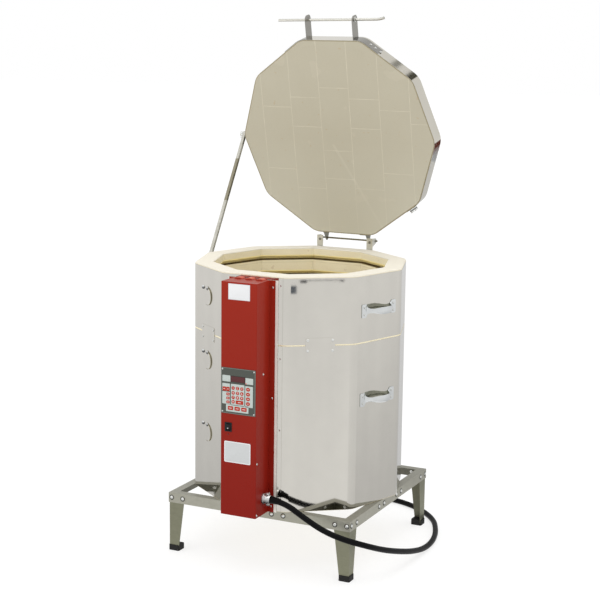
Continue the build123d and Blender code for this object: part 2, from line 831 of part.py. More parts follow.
# Push nuts that hold the bar in the straps
with BuildPart() as handle_push_nuts:
    for side in (-1, 1):
        near = strap_x + push_nut_gap
        with BuildSketch(Plane(origin=(side * near, *bar_centre), z_dir=(side, 0, 0))):
            RegularPolygon(bar_nut_radius, small_sides)
            RegularPolygon(bar_radius, small_sides, major_radius=False, mode=Mode.SUBTRACT)
        extrude(amount=push_nut)
save(handle_push_nuts, "handle_push_nuts")

# Hinge straps on the body: joggled out over the rim, with an ear folded back for the rod
jog_low, jog_high = jacket_top - 22, jacket_top - 10
with BuildPart() as body_hinge_straps:
    for side in (-1, 1):
        inner_x = side * (hinge_strap_x - hinge_strap_width / 2)
        with BuildSketch(Plane(origin=(inner_x, 0, 0), x_dir=(0, 1, 0), z_dir=(1, 0, 0))):
            with BuildLine():
                flat, out = jacket_apothem, jacket_apothem + hinge_strap_jog
                Polyline(
                    (flat, hinge_strap_low),
                    (flat + hinge_strap_sheet, hinge_strap_low),
                    (flat + hinge_strap_sheet, jog_low - 1),
                    (out + hinge_strap_sheet, jog_high - 1),
                    (out + hinge_strap_sheet, hinge_strap_top),
                    (out, hinge_strap_top),
                    (out, jog_high),
                    (flat, jog_low),
                    close=True,
                )
            make_face()
        extrude(amount=side * hinge_strap_width)
        outer_x = side * (hinge_strap_x + hinge_strap_width / 2)
        with BuildSketch(Plane(origin=(outer_x, 0, 0), x_dir=(0, 1, 0), z_dir=(1, 0, 0))):
            with BuildLine():
                Polyline(
                    (out, hinge_z - 20),
                    (hinge_y, hinge_z - hinge_ear),
                    (hinge_y, hinge_z + hinge_ear),
                    (out, hinge_strap_top),
                    close=True,
                )
            make_face()
            with Locations((hinge_y, hinge_z)):
                Circle(hinge_ear)
                bore = hinge_rod_radius + running_gap
                RegularPolygon(bore, small_sides, major_radius=False, mode=Mode.SUBTRACT)
        extrude(amount=-side * hinge_ear_sheet)
save(body_hinge_straps, "body_hinge_straps")

# Hinge straps on the lid: a flange on the band and an ear that turns on the rod
with BuildPart() as lid_hinge_straps:
    for side in (-1, 1):
        ear_out = side * lid_ear_x
        with BuildSketch(lid_plane(band_inset)):
            with Locations((ear_out - side * lid_strap_width / 2, lid_apothem + hinge_strap_sheet / 2)):
                Rectangle(lid_strap_width, hinge_strap_sheet)
        extrude(amount=lid_depth - 2 * band_inset)
        with BuildSketch(Plane(origin=(ear_out, 0, 0), x_dir=(0, 1, 0), z_dir=(1, 0, 0))):
            with BuildLine():
                Polyline(
                    opened(lid_apothem, lid_seat + lid_ear_inset),
                    opened(hinge_y, hinge_z - hinge_ear),
                    opened(hinge_y, hinge_z + hinge_ear),
                    opened(lid_apothem, lid_seat + lid_depth - lid_ear_inset),
                    close=True,
                )
            make_face()
            with Locations((hinge_y, hinge_z)):
                Circle(hinge_ear)
                bore = hinge_rod_radius + running_gap
                RegularPolygon(bore, small_sides, major_radius=False, mode=Mode.SUBTRACT)
        extrude(amount=-side * hinge_ear_sheet)
save(lid_hinge_straps, "lid_hinge_straps")

# Hinge rod, fixed in the body's straps
rod_half = hinge_strap_x + hinge_strap_width / 2 + rod_overhang
with BuildPart() as hinge_rod:
    with BuildSketch(Plane(origin=(-rod_half, hinge_y, hinge_z), z_dir=(1, 0, 0))):
        Circle(hinge_rod_radius)
    extrude(amount=2 * rod_half)
save(hinge_rod, "hinge_rod")

# Push nuts on the ends of the hinge rod
with BuildPart() as hinge_push_nuts:
    for side in (-1, 1):
        near = hinge_strap_x + hinge_strap_width / 2 + push_nut_gap
        with BuildSketch(Plane(origin=(side * near, hinge_y, hinge_z), z_dir=(side, 0, 0))):
            RegularPolygon(push_nut_radius, small_sides)
            RegularPolygon(hinge_rod_radius, small_sides, major_radius=False, mode=Mode.SUBTRACT)
        extrude(amount=push_nut)
save(hinge_push_nuts, "hinge_push_nuts")

# Bracket of the lid brace, bent round the lid's left corner, with its bolt
corner_out = lid_apothem / cos(radians(side_step / 2))
corner_out = corner_out - (lid_corner / cos(radians(side_step / 2)) - lid_corner)
bolt_out = -brace_x + brace_depth
with BuildPart() as brace_bracket:
    with BuildSketch(lid_plane(brace_bracket_low)):
        decagon(lid_apothem + brace_bracket_sheet, lid_corner + brace_bracket_sheet)
        decagon(lid_apothem, lid_corner, mode=Mode.SUBTRACT)
        with Locations((-corner_out, 0)):
            Rectangle(corner_out / 2, 2 * brace_bracket_half, mode=Mode.INTERSECT)
    extrude(amount=brace_bracket_tall)
    pivot_face = Plane(
        origin=(-corner_out - brace_bracket_sheet / 2, brace_pivot_y, brace_pivot_z), z_dir=(-1, 0, 0)
    )
    with BuildSketch(pivot_face):
        RegularPolygon(brace_boss_radius, small_sides)
    extrude(amount=-brace_x - brace_play - corner_out - brace_bracket_sheet / 2)
    with BuildSketch(pivot_face):
        RegularPolygon(brace_bolt_radius, small_sides)
    extrude(amount=bolt_out + brace_bolt_spare - corner_out)
save(brace_bracket, "brace_bracket")

# Wing nut on the bracket's bolt
with BuildPart() as wing_nut:
    nut_face = Plane(origin=(-bolt_out - brace_play, brace_pivot_y, brace_pivot_z), z_dir=(-1, 0, 0))
    with BuildSketch(nut_face):
        RegularPolygon(nut_hub_radius, 6)
        RegularPolygon(brace_bolt_radius, small_sides, mode=Mode.SUBTRACT)
    extrude(amount=nut_hub)
    with BuildSketch(nut_face.offset(nut_hub / 2)):
        Rectangle(nut_wing_span, nut_wing_sheet)
        RegularPolygon(brace_bolt_radius, small_sides, mode=Mode.SUBTRACT)
    extrude(amount=nut_wing_reach)
save(wing_nut, "brace_wing_nut")

# Brace arm: a channel with a long slot in its web
arm_turn = degrees(atan2(brace_guide_z - brace_pivot_z, brace_guide_y - brace_pivot_y))
arm_along = Vector(0, cos(radians(arm_turn)), sin(radians(arm_turn)))
arm_plane = Plane(
    origin=(brace_x, brace_pivot_y, brace_pivot_z), x_dir=tuple(arm_along), z_dir=(-1, 0, 0)
)
arm_middle = brace_length / 2 - brace_overhang
with BuildPart() as brace_arm:
    with BuildSketch(arm_plane):
        with Locations((arm_middle, 0)):
            Rectangle(brace_length, brace_width)
            Rectangle(brace_length, brace_width - 2 * brace_sheet, mode=Mode.SUBTRACT)
    extrude(amount=brace_depth)
    with BuildSketch(arm_plane.offset(brace_depth - brace_sheet)):
        with Locations((arm_middle, 0)):
            Rectangle(brace_length, brace_width)
        with Locations((arm_middle + brace_slot_ends / 4, 0)):
            SlotOverall(brace_length - brace_slot_ends, brace_slot, mode=Mode.SUBTRACT)
        bore = brace_bolt_radius + running_gap
        RegularPolygon(bore, small_sides, major_radius=False, mode=Mode.SUBTRACT)
    extrude(amount=brace_sheet)
save(brace_arm, "brace_arm")

# Guide of the brace on the body: a base plate with a stud that the slot runs along
guide_flat = side_plane(guide_side, jacket_apothem, brace_guide_z - guide_drop)
guide_local = (brace_guide_y - guide_flat.origin.Y) / guide_flat.x_dir.Y
with BuildPart() as brace_guide:
    with BuildSketch(guide_flat):
        with Locations((guide_local, 0)):
            Rectangle(guide_plate_width, guide_plate_height)
    extrude(amount=guide_plate_sheet)
    stud_start = guide_stud_inset - jacket_apothem / cos(radians(side_step / 2))
    with BuildSketch(
        Plane(origin=(stud_start, brace_guide_y, brace_guide_z), z_dir=(-1, 0, 0))
    ):
        RegularPolygon(brace_bolt_radius, small_sides)
    extrude(amount=stud_start - brace_x - brace_play)
save(brace_guide, "brace_guide")

# Screws in the lid: handle straps, hinge straps and brace bracket
with BuildPart() as lid_screws:
    for side in (-1, 1):
        with BuildSketch(lid_side_plane(side * side_step, lid_apothem + strap_sheet, bar_level)):
            with Locations(*[(side * place, 0) for place in strap_screw_places]):
                RegularPolygon(screw_radius, 6)
        extrude(amount=screw_head)
        with BuildSketch(lid_side_plane(180, lid_apothem + hinge_strap_sheet, lid_depth / 2)):
            with Locations((side * (lid_ear_x - lid_strap_screw_inset), 0)):
                with GridLocations(1, 2 * lid_strap_screw_half, 1, 2):
                    RegularPolygon(screw_radius, 6)
        extrude(amount=screw_head)
save(lid_screws, "lid_screws")

# Back plate of the control box
with BuildPart() as back_plate:
    with BuildSketch(Plane.XZ.offset(jacket_apothem + sheet_gap)):
        with Locations(((back_plate_left + back_plate_right) / 2, (box_base + box_top) / 2)):
            Rectangle(back_plate_right - back_plate_left, box_top - box_base)
        with Locations((0, window_middle)):
            Rectangle(window_width, window_height, mode=Mode.SUBTRACT)
    extrude(amount=back_plate_sheet)
save(back_plate, "box_back_plate")

# Cover of the control box: folded sheet with louvres along the back of its top
box_left, box_right = box_middle - box_width / 2, box_middle + box_width / 2
seat_y = -plate_out - sheet_gap
inside_top = box_top - box_sheet
with BuildPart() as box_cover:
    with BuildSketch(Plane.XY.offset(box_base)):
        with BuildLine():
            Polyline(
                (box_left, seat_y),
                (box_left, box_front),
                (box_right, box_front),
                (box_right, seat_y),
                close=True,
            )
        make_face()
        fillet([v for v in vertices() if v.Y < box_front + 1], box_bend)
    extrude(amount=box_top - box_base)
    with BuildSketch(Plane.XY.offset(box_base + box_sheet)):
        with BuildLine():
            Polyline(
                (box_left + box_sheet, seat_y),
                (box_left + box_sheet, box_front + box_sheet),
                (box_right - box_sheet, box_front + box_sheet),
                (box_right - box_sheet, seat_y),
                close=True,
            )
        make_face()
        fillet([v for v in vertices() if v.Y < box_front + 3], box_bend - box_sheet)
    extrude(amount=box_top - box_base - 2 * box_sheet, mode=Mode.SUBTRACT)
    # flanges for the screws on both sides
    with BuildSketch(Plane.XZ.offset(-seat_y)):
        with Locations((box_middle, (box_base + box_top) / 2)):
            Rectangle(box_width + 2 * flange_width, box_top - box_base)
            Rectangle(box_width - 2 * box_sheet, box_top - box_base, mode=Mode.SUBTRACT)
    extrude(amount=box_sheet)
    # louvres: three arched hoods in the top, open towards the body
    for centre in louvre_centres:
        with BuildSketch(Plane.XZ.offset(-seat_y)):
            with BuildLine():
                ends = [(centre + side * louvre_chord, box_top) for side in (-1, 1)]
                ThreePointArc(ends[0], (centre, box_top + louvre_rise), ends[1])
                Line(ends[1], ends[0])
            make_face()
        extrude(amount=louvre_length)
        with BuildSketch(Plane.XZ.offset(-seat_y)):
            with BuildLine():
                ends = [(centre + side * (louvre_chord - box_sheet), inside_top) for side in (-1, 1)]
                ThreePointArc(ends[0], (centre, inside_top + louvre_rise), ends[1])
                Line(ends[1], ends[0])
            make_face()
        extrude(amount=louvre_length - box_sheet, mode=Mode.SUBTRACT)
    # opening for the controller panel
    with BuildSketch(Plane.XZ.offset(-box_front)):
        with Locations((box_middle, panel_middle_z)):
            Rectangle(panel_width - 2 * panel_lap, panel_height - 2 * panel_lap)
        with Locations((switch_x, switch_z)):
            Rectangle(switch_width - 2 * switch_lap, switch_height - 2 * switch_lap)
        with Locations((lamp_x, lamp_z)):
            RegularPolygon(lamp_radius + lamp_play, small_sides)
    extrude(amount=-2 * box_sheet, mode=Mode.SUBTRACT)
save(box_cover, "box_cover")

# Screws of the control box: flanges, right side and controller panel
with BuildPart() as box_screws:
    for height in box_screw_heights:
        with BuildSketch(Plane.XZ.offset(-seat_y + box_sheet)):
            with Locations((box_left - box_screw_inset, height), (box_right + box_screw_inset, height)):
                RegularPolygon(screw_radius, 6)
        extrude(amount=screw_head)
    with BuildSketch(Plane(origin=(box_right, 0, 0), x_dir=(0, 1, 0), z_dir=(1, 0, 0))):
        with Locations(*side_screws):
            RegularPolygon(screw_radius, 6)
    extrude(amount=screw_head)
    with BuildSketch(Plane.XZ.offset(panel_sheet - box_front)):
        with Locations((box_middle, panel_middle_z)):
            with GridLocations(2 * panel_screw_x, 2 * panel_screw_z, 2, 2):
                RegularPolygon(panel_screw_radius, small_sides)
    extrude(amount=panel_screw_head)
save(box_screws, "box_screws")

# Controller panel
with BuildPart() as panel:
    with BuildSketch(Plane.XZ.offset(-box_front)):
        with Locations((box_middle, panel_middle_z)):
            Rectangle(panel_width, panel_height)
    extrude(amount=panel_sheet)
save(panel, "controller_panel")

# Window of the display
with BuildPart() as display:
    with BuildSketch(Plane.XZ.offset(panel_sheet - box_front)):
        with Locations((display_x, display_z)):
            Rectangle(display_width, display_height)
    extrude(amount=display_proud)
save(display, "display_window")

# Circuit board behind the panel, on four posts, with its larger parts
with BuildPart() as control_board:
    with BuildSketch(Plane.XZ.offset(-box_front - box_sheet - board_post)):
        with Locations((box_middle, panel_middle_z)):
            Rectangle(board_width, board_height)
    extrude(amount=-board_sheet)
    with BuildSketch(Plane.XZ.offset(-box_front - box_sheet)):
        with Locations((box_middle, panel_middle_z)):
            reach_x, reach_z = board_width - 2 * board_post_inset, board_height - 2 * board_post_inset
            with GridLocations(reach_x, reach_z, 2, 2):
                Rectangle(board_post_side, board_post_side)
    extrude(amount=-board_post)
    with BuildSketch(Plane.XZ.offset(-box_front - box_sheet - board_post - board_sheet)):
        for x, z, width, height in board_parts:
            with Locations((box_middle + x, panel_middle_z + z)):
                Rectangle(width, height)
    extrude(amount=-board_parts_depth)
save(control_board, "control_board")

# Relays that switch the elements, in a column on the back plate
plate_face = Plane.XZ.offset(plate_out)
with BuildPart() as relays:
    with BuildSketch(plate_face):
        with Locations(*[(relay_x, height) for height in relay_heights]):
            Rectangle(relay_width, relay_height)
    extrude(amount=relay_depth)
    with BuildSketch(plate_face.offset(relay_depth)):
        with Locations(*[(relay_x, height) for height in relay_heights]):
            with GridLocations(relay_width / 2, relay_height / 2, 2, 2):
                Rectangle(relay_tab_sheet, relay_tab_width)
    extrude(amount=relay_tab)
save(relays, "power_relays")

# Transformer: a laminated core with its winding
with BuildPart() as transformer:
    with BuildSketch(plate_face):
        with Locations((transformer_x, transformer_z)):
            Rectangle(core_width, core_height)
    extrude(amount=core_depth)
    with BuildSketch(plate_face.offset(core_depth)):
        with Locations((transformer_x, transformer_z)):
            Rectangle(winding_width, core_height)
    extrude(amount=winding_depth)
save(transformer, "transformer")

# Terminal block for the mains cord
with BuildPart() as terminal_block:
    with BuildSketch(plate_face):
        with Locations((terminal_x, terminal_z)):
            Rectangle(block_width, block_height)
    extrude(amount=block_depth)
    with BuildSketch(plate_face.offset(block_depth)):
        with Locations((terminal_x, terminal_z)):
            with GridLocations(1, block_pitch, 1, block_ribs):
                Rectangle(block_width, block_rib)
    extrude(amount=block_rib_depth)
save(terminal_block, "terminal_block")

# Switch housing: a bezel in front and a socket behind, open for the rocker
rocker_y = box_front + rocker_set_back
with BuildPart() as switch_housing:
    with BuildSketch(Plane.XZ.offset(-box_front)):
        with Locations((switch_x, switch_z)):
            Rectangle(switch_width, switch_height)
    extrude(amount=switch_bezel)
    with BuildSketch(Plane.XZ.offset(-box_front)):
        with Locations((switch_x, switch_z)):
            inset = 2 * (switch_lap + socket_gap)
            Rectangle(switch_width - inset, switch_height - inset)
    extrude(amount=-switch_depth)
    with BuildSketch(Plane.XZ.offset(switch_bezel - box_front)):
        with Locations((switch_x, switch_z)):
            Rectangle(rocker_width + 2 * rocker_gap, 2 * (rocker_radius + rocker_gap))
    extrude(amount=switch_wall - switch_bezel - switch_depth, mode=Mode.SUBTRACT)
    with BuildSketch(Plane(origin=(switch_x, rocker_y, switch_z), z_dir=(1, 0, 0))):
        RegularPolygon(rocker_pin + running_gap, small_sides, major_radius=False)
    pin_bore = rocker_width / 2 + rocker_pin_reach + running_gap
    extrude(amount=pin_bore, both=True, mode=Mode.SUBTRACT)
save(switch_housing, "switch_housing")

# Rocker of the switch, on two pins, shown rocked back at the top
tilt = radians(rocker_tilt)
rocker_face = Plane(
    origin=(switch_x, rocker_y, switch_z),
    x_dir=(0, cos(tilt), -sin(tilt)),
    z_dir=(1, 0, 0),
)
with BuildPart() as rocker:
    with BuildSketch(rocker_face):
        with BuildLine():
            Polyline(*rocker_outline, close=True)
        make_face()
    extrude(amount=rocker_width / 2, both=True)
    with BuildSketch(rocker_face):
        RegularPolygon(rocker_pin, small_sides)
    extrude(amount=rocker_width / 2 + rocker_pin_reach, both=True)
save(rocker, "power_rocker")

# Status lamp
with BuildPart() as lamp:
    with BuildSketch(Plane.XZ.offset(-box_front - lamp_back)):
        with Locations((lamp_x, lamp_z)):
            RegularPolygon(lamp_radius, small_sides)
    extrude(amount=lamp_length)
    chamfer(lamp.faces().sort_by(Axis.Y)[0].edges(), lamp_edge)
save(lamp, "status_lamp")

# Cord clamp: a flange, a saddle and its two screws
clamp_face = Plane(origin=(box_right, clamp_y, clamp_z), x_dir=(0, 1, 0), z_dir=(1, 0, 0))
with BuildPart() as cord_clamp:
    with BuildSketch(clamp_face):
        RegularPolygon(clamp_flange_radius, 8)
    extrude(amount=clamp_flange)
    with BuildSketch(clamp_face):
        RegularPolygon(clamp_barrel_radius, small_sides)
    extrude(amount=clamp_length)
    with BuildSketch(clamp_face.offset(saddle_start)) as saddle:
        Rectangle(saddle_width, saddle_height)
        chamfer(saddle.vertices(), saddle_corner)
    extrude(amount=saddle_length)
    with BuildSketch(Plane.XZ.offset(saddle_width / 2 - clamp_y)):
        with Locations((box_right + saddle_start + saddle_length / 2, clamp_z)):
            with GridLocations(1, 2 * saddle_screw_place, 1, 2):
                RegularPolygon(saddle_screw, 6)
    extrude(amount=saddle_screw_head)
save(cord_clamp, "cord_clamp")

# Mains cord
runs = [Vector(*end) - Vector(*start) for start, end in zip(cord_route, cord_route[1:])]
bends = []
for before, after in zip(runs, runs[1:]):
    half_turn = radians(before.get_angle(after)) / 2
    bends.append(cord_reach * min(before.length, after.length) / tan(half_turn))
with BuildPart() as power_cord:
    with BuildLine() as cord_line:
        FilletPolyline(*cord_route, radius=bends)
    with BuildSketch(Plane(origin=cord_route[0], z_dir=tuple(runs[0]))):
        RegularPolygon(cord_radius, cord_facets)
    sweep()
save(power_cord, "power_cord")
cord_section = cord_facets / 2 * cord_radius**2 * sin(radians(360 / cord_facets))
cord_length = cord_line.wires()[0].length
print("cord length", round(cord_length, 1), "tightest bend", round(min(bends), 1))
print("cord volume ratio", round(power_cord.part.volume / cord_section / cord_length, 4))

# Plug on the end of the cord, lying on the floor, with its blades to one side
last_run = Vector(runs[-1].X, runs[-1].Y, 0).normalized()
plug_flat = Plane(
    origin=(cord_route[-1][0], cord_route[-1][1], 0), x_dir=tuple(last_run), z_dir=(0, 0, 1)
)
with BuildPart() as plug_body:
    with BuildSketch(plug_flat) as plug_outline:
        with Locations((plug_neck + plug_length / 2, 0)):
            Rectangle(plug_length, plug_width)
        chamfer(plug_outline.vertices(), plug_corner)
    extrude(amount=plug_height)
    chamfer(plug_body.faces().sort_by(Axis.Z)[-1].edges(), plug_edge)
    neck_start = Vector(*cord_route[-1]) + last_run
    with BuildSketch(Plane(origin=neck_start, z_dir=tuple(last_run))):
        RegularPolygon(plug_neck_radius, small_sides)
    extrude(amount=plug_neck + plug_neck_join, taper=plug_neck_taper)
save(plug_body, "plug_body")

# Blades and earth pin of the plug
blade_root = plug_width / 2
with BuildPart() as plug_blades:
    with BuildSketch(plug_flat.offset(blade_level)):
        with Locations(*[(plug_neck + place, -blade_root - blade_length / 2) for place in blade_places]):
            Rectangle(blade_sheet, blade_length)
    extrude(amount=blade_width)
    with BuildSketch(plug_flat.offset(blade_level + blade_width / 2 - earth_pin)):
        with Locations((plug_neck + earth_place, -blade_root - (blade_length + earth_pin_spare) / 2)):
            Rectangle(2 * earth_pin, blade_length + earth_pin_spare)
    extrude(amount=2 * earth_pin)
save(plug_blades, "plug_blades")
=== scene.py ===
import math

import bmesh
import bpy
from mathutils import Matrix, Vector


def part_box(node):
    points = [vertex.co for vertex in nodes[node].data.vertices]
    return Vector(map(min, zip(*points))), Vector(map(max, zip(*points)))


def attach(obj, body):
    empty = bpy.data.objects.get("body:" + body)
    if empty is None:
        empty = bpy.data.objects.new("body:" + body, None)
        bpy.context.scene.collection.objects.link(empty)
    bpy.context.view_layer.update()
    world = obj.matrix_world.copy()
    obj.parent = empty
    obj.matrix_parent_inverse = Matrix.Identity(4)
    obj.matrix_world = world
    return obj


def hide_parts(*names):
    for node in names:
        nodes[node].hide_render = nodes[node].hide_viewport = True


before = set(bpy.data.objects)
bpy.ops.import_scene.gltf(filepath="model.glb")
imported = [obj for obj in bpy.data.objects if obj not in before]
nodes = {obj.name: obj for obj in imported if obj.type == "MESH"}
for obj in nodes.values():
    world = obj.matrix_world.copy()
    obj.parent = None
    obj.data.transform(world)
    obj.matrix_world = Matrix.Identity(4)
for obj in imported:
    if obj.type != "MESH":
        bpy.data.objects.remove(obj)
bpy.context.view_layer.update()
scene = bpy.context.scene


# Studio
# A white room for a catalogue picture of bright steel: a pale floor, an even white surround,
# two softboxes, and a low glowing tent round the kiln that only shiny surfaces mirror, painting
# the reflections in the steel.
class Wire:
    """One output of a shader node, so that sums over a surface read as plain expressions."""

    def __init__(self, finish, socket):
        self.finish = finish
        self.socket = socket

    def maths(self, operation, first, second=0):
        """A Math node of two values or wires. The operators below are such nodes."""
        return self.finish.node("Math", {"operation": operation}, {0: first, 1: second}, 0)

    def __add__(self, other):
        return self.maths("ADD", self, other)

    def __radd__(self, other):
        return self.maths("ADD", other, self)

    def __sub__(self, other):
        return self.maths("SUBTRACT", self, other)

    def __rsub__(self, other):
        return self.maths("SUBTRACT", other, self)

    def __mul__(self, other):
        return self.maths("MULTIPLY", self, other)

    def __rmul__(self, other):
        return self.maths("MULTIPLY", other, self)

    def __truediv__(self, other):
        return self.maths("DIVIDE", self, other)

    def __rtruediv__(self, other):
        return self.maths("DIVIDE", other, self)

    def __mod__(self, other):
        return self.maths("FLOORED_MODULO", self, other)

    def __rmod__(self, other):
        return self.maths("FLOORED_MODULO", other, self)

    def __or__(self, other):
        return self.maths("MAXIMUM", self, other)

    def __ror__(self, other):
        return self.maths("MAXIMUM", other, self)

    def __gt__(self, other):
        return self.maths("GREATER_THAN", self, other)

    def __lt__(self, other):
        return self.maths("LESS_THAN", self, other)

    def __abs__(self):
        return self.maths("ABSOLUTE", self)


class Finish:
    """One material in the making: its nodes, and the shader that they feed."""

    def __init__(self, name, constants):
        self.material = bpy.data.materials.new(name)
        self.material.use_nodes = True
        self.tree = self.material.node_tree
        self.shader = self.tree.nodes["Principled BSDF"]
        for socket, value in constants.items():
            self.shader.inputs[socket].default_value = value

    def node(self, kind, settings, sockets, output):
        """Adds a node, its settings first, then the values or wires of its sockets."""
        added = self.tree.nodes.new("ShaderNode" + kind)
        for name, value in settings.items():
            if name == "stops":
                for _ in value[2:]:
                    added.color_ramp.elements.new(0.5)
                for stop, (position, colour) in zip(added.color_ramp.elements, value):
                    stop.position = position
                    stop.color = (*colour, 1)
            else:
                setattr(added, name, value)
        for name, value in sockets.items():
            if isinstance(value, Wire):
                self.tree.links.new(value.socket, added.inputs[name])
            else:
                added.inputs[name].default_value = value
        return Wire(self, added.outputs[output])

    def parts(self, vector):
        """The three coordinates of a place or a direction."""
        split = self.node("SeparateXYZ", {}, {"Vector": vector}, "X")
        outputs = split.socket.node.outputs
        return split, Wire(self, outputs["Y"]), Wire(self, outputs["Z"])

    def place(self):
        """Where a point of the surface is on the object, in metres."""
        return self.node("TexCoord", {}, {}, "Object")

    def where(self):
        """The three coordinates of a point of the surface."""
        return self.parts(self.place())

    def facing(self):
        """The three coordinates of the direction that the surface faces."""
        return self.parts(self.node("TexCoord", {}, {}, "Normal"))

    def outwards(self):
        """How far a point faces away from the kiln's upright axis: below 0, it faces in."""
        x, y, _ = self.where()
        facing_x, facing_y, _ = self.facing()
        return x * facing_x + y * facing_y

    def noise(self, scale, detail, stretch=(1, 1, 1)):
        """Soft random variation from 0 to 1, finer along an axis the more it is stretched."""
        place = {"Vector": self.place(), "Scale": stretch}
        stretched = self.node("Mapping", {}, place, "Vector")
        sockets = {"Vector": stretched, "Scale": scale, "Detail": detail}
        return self.node("TexNoise", {}, sockets, "Fac")

    def between(self, mask, low, high):
        """One colour where the mask is 0 and the other where it is 1."""
        low, high = [end if isinstance(end, Wire) else shade(*end) for end in (low, high)]
        return self.node("Mix", {"data_type": "RGBA"}, {0: mask, 6: low, 7: high}, 2)

    def paint(self, socket, value):
        self.tree.links.new(value.socket, self.shader.inputs[socket])

    def coat(self, colour, roughness, *bump):
        """The material with this colour, roughness and perhaps bump: height, depth and strength."""
        self.paint("Base Color", colour)
        self.paint("Roughness", roughness)
        if bump:
            sockets = dict(zip(("Height", "Distance", "Strength"), bump))
            self.paint("Normal", self.node("Bump", {}, sockets, "Normal"))
        return self.material


def shade(red, green, blue):
    """A colour as a screen shows it, turned into the light that it sends back."""
    return tuple(((value / 255 + 0.055) / 1.055) ** 2.4 for value in (red, green, blue)) + (1,)


def make_piece(name, mesh, finish, slot, *replaced, body="kiln_body"):
    """A named piece that rides on one body of the frame, and may stand for nodes of it."""
    made = bpy.data.objects.new(name, mesh)
    scene.collection.objects.link(made)
    made.data.materials.append(finish)
    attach(made, body)
    if replaced:
        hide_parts(*replaced)
    return made


def dress(finish, *names):
    """Gives carried CAD nodes their material."""
    for name in names:
        for place in nodes[name].material_slots:
            place.material = finish


def stage_sheet(name, corners, faces, finish, mirrored=False):
    """A sheet of the studio, which isn't part of the kiln. Some show only in shiny surfaces."""
    mesh = bpy.data.meshes.new(name)
    mesh.from_pydata(corners, [], faces)
    sheet = bpy.data.objects.new(name, mesh)
    scene.collection.objects.link(sheet)
    sheet.data.materials.append(finish)
    if mirrored:
        for rays in ("camera", "diffuse", "shadow", "transmission"):
            setattr(sheet, f"visible_{rays}", False)


def oblong(half_width, half_height):
    """The four corners of an oblong round the middle."""
    sides = ((-1, -1), (1, -1), (1, 1), (-1, 1))
    return [(half_width * side, half_height * end) for side, end in sides]


floor_reach = 40
floor_finish = Finish("studio_floor", {
    "Roughness": 0.9,
    "Specular IOR Level": 0.1,
    "Base Color": (0.30, 0.30, 0.30, 1),
    "Emission Color": (1, 1, 1, 1),
    "Emission Strength": 0.72,
})
floor_corners = [(x, y, 0) for x, y in oblong(floor_reach, floor_reach)]
stage_sheet("studio_floor", floor_corners, [(0, 1, 2, 3)], floor_finish.material)

# brightness of the tent by direction, in degrees to the right of the kiln's front
tent_upper = [(-180, 0.70), (-120, 0.92), (-79, 0.99), (-72, 0.98), (-30, 1.0), (20, 1.0)]
tent_upper += [(33, 0.99), (50, 1.03), (94, 1.02), (106, 1.01), (130, 0.90), (160, 0.72), (180, 0.70)]
tent_lower = [(-180, 0.60), (-120, 0.70), (-79, 0.75), (-72, 0.77), (-30, 1.0), (20, 1.03)]
tent_lower += [(33, 1.03), (49, 1.06), (58, 0.90), (90, 0.86), (96, 0.76), (130, 0.70), (160, 0.60)]
tent_lower += [(180, 0.60)]
tent_radius, tent_top, tent_sides = 0.85, 1.25, 72
tent_blend_foot, tent_blend_rate = 0.06, 1.25
# glowing sheets that only shiny surfaces mirror: they paint the reflections in the steel
mirrored_glow = {"Base Color": (0, 0, 0, 1), "Specular IOR Level": 0, "Emission Strength": 1.0}
tent = Finish("studio_tent", mirrored_glow)
tent_x, tent_y, tent_z = tent.where()
azimuth = tent.node("Math", {"operation": "ARCTAN2"}, {0: tent_x, 1: tent_y * -1}, 0)
azimuth = azimuth / (2 * math.pi) + 0.5
tones = []
for levels in (tent_lower, tent_upper):
    stops = [(turn / 360 + 0.5, (level, level, level)) for turn, level in levels]
    tones.append(tent.node("ValToRGB", {"stops": stops}, {"Fac": azimuth}, "Color"))
blend = tent.node("Math", {"operation": "MULTIPLY", "use_clamp": True}, {
    0: tent_z - tent_blend_foot,
    1: tent_blend_rate,
}, 0)
tent.paint("Emission Color", tent.between(blend, *tones))
tent_corners = []
for height in (0, tent_top):
    for step in range(tent_sides):
        turn = 2 * math.pi * step / tent_sides
        tent_corners.append((tent_radius * math.cos(turn), tent_radius * math.sin(turn), height))
tent_walls = []
for step in range(tent_sides):
    beside = (step + 1) % tent_sides
    tent_walls.append((step, beside, tent_sides + beside, tent_sides + step))
stage_sheet("studio_tent", tent_corners, tent_walls, tent.material, True)

# Dark glowing cards that only shiny surfaces mirror, as painted dark reflections: four show in
# the bright band of the open lid, by its bends, and four near the top of the jacket to the right
# of the box. Each is given by where its two ends show on the steel.
camera_place = Vector((2.2361, -4.6445, 1.7965))
jacket_face = 0.360
band_face, band_bend = 0.363, 0.070
lid_angle = math.radians(77.5)
lid_hinge_y, lid_hinge_z = 0.394, 1.040
lid_up = Vector((0, -math.cos(lid_angle), math.sin(lid_angle)))
lid_back = Vector((0, lid_up.z, -lid_up.y))
lid_centre = Vector((0, lid_hinge_y, lid_hinge_z + 0.003)) + lid_up * lid_hinge_y


def in_band(angle, along):
    """A place on the band and the way it faces, by that angle and the distance along a side."""
    turn = math.radians(angle)
    normal = Vector((math.sin(turn), 0, 0)) + lid_up * math.cos(turn)
    if angle % 36 == 0:
        tangent = Vector((math.cos(turn), 0, 0)) - lid_up * math.sin(turn)
        return lid_centre + normal * band_face + tangent * along, normal
    corner = math.radians(angle // 36 * 36 + 18)
    outward = Vector((math.sin(corner), 0, 0)) + lid_up * math.cos(corner)
    bend_middle = outward * ((band_face - band_bend) / math.cos(math.radians(18)))
    return lid_centre + bend_middle + normal * band_bend, normal


def side_axes(angle):
    """Out from one side of the kiln, and along it to the right."""
    turn = math.radians(angle)
    return Vector((math.sin(turn), -math.cos(turn), 0)), Vector((math.cos(turn), math.sin(turn), 0))


def on_side(angle, along, out, height):
    """A point in front of one side: along it to the right, out from the jacket, and up."""
    outward, to_right = side_axes(angle)
    return outward * (jacket_face + out) + to_right * along + Vector((0, 0, height))


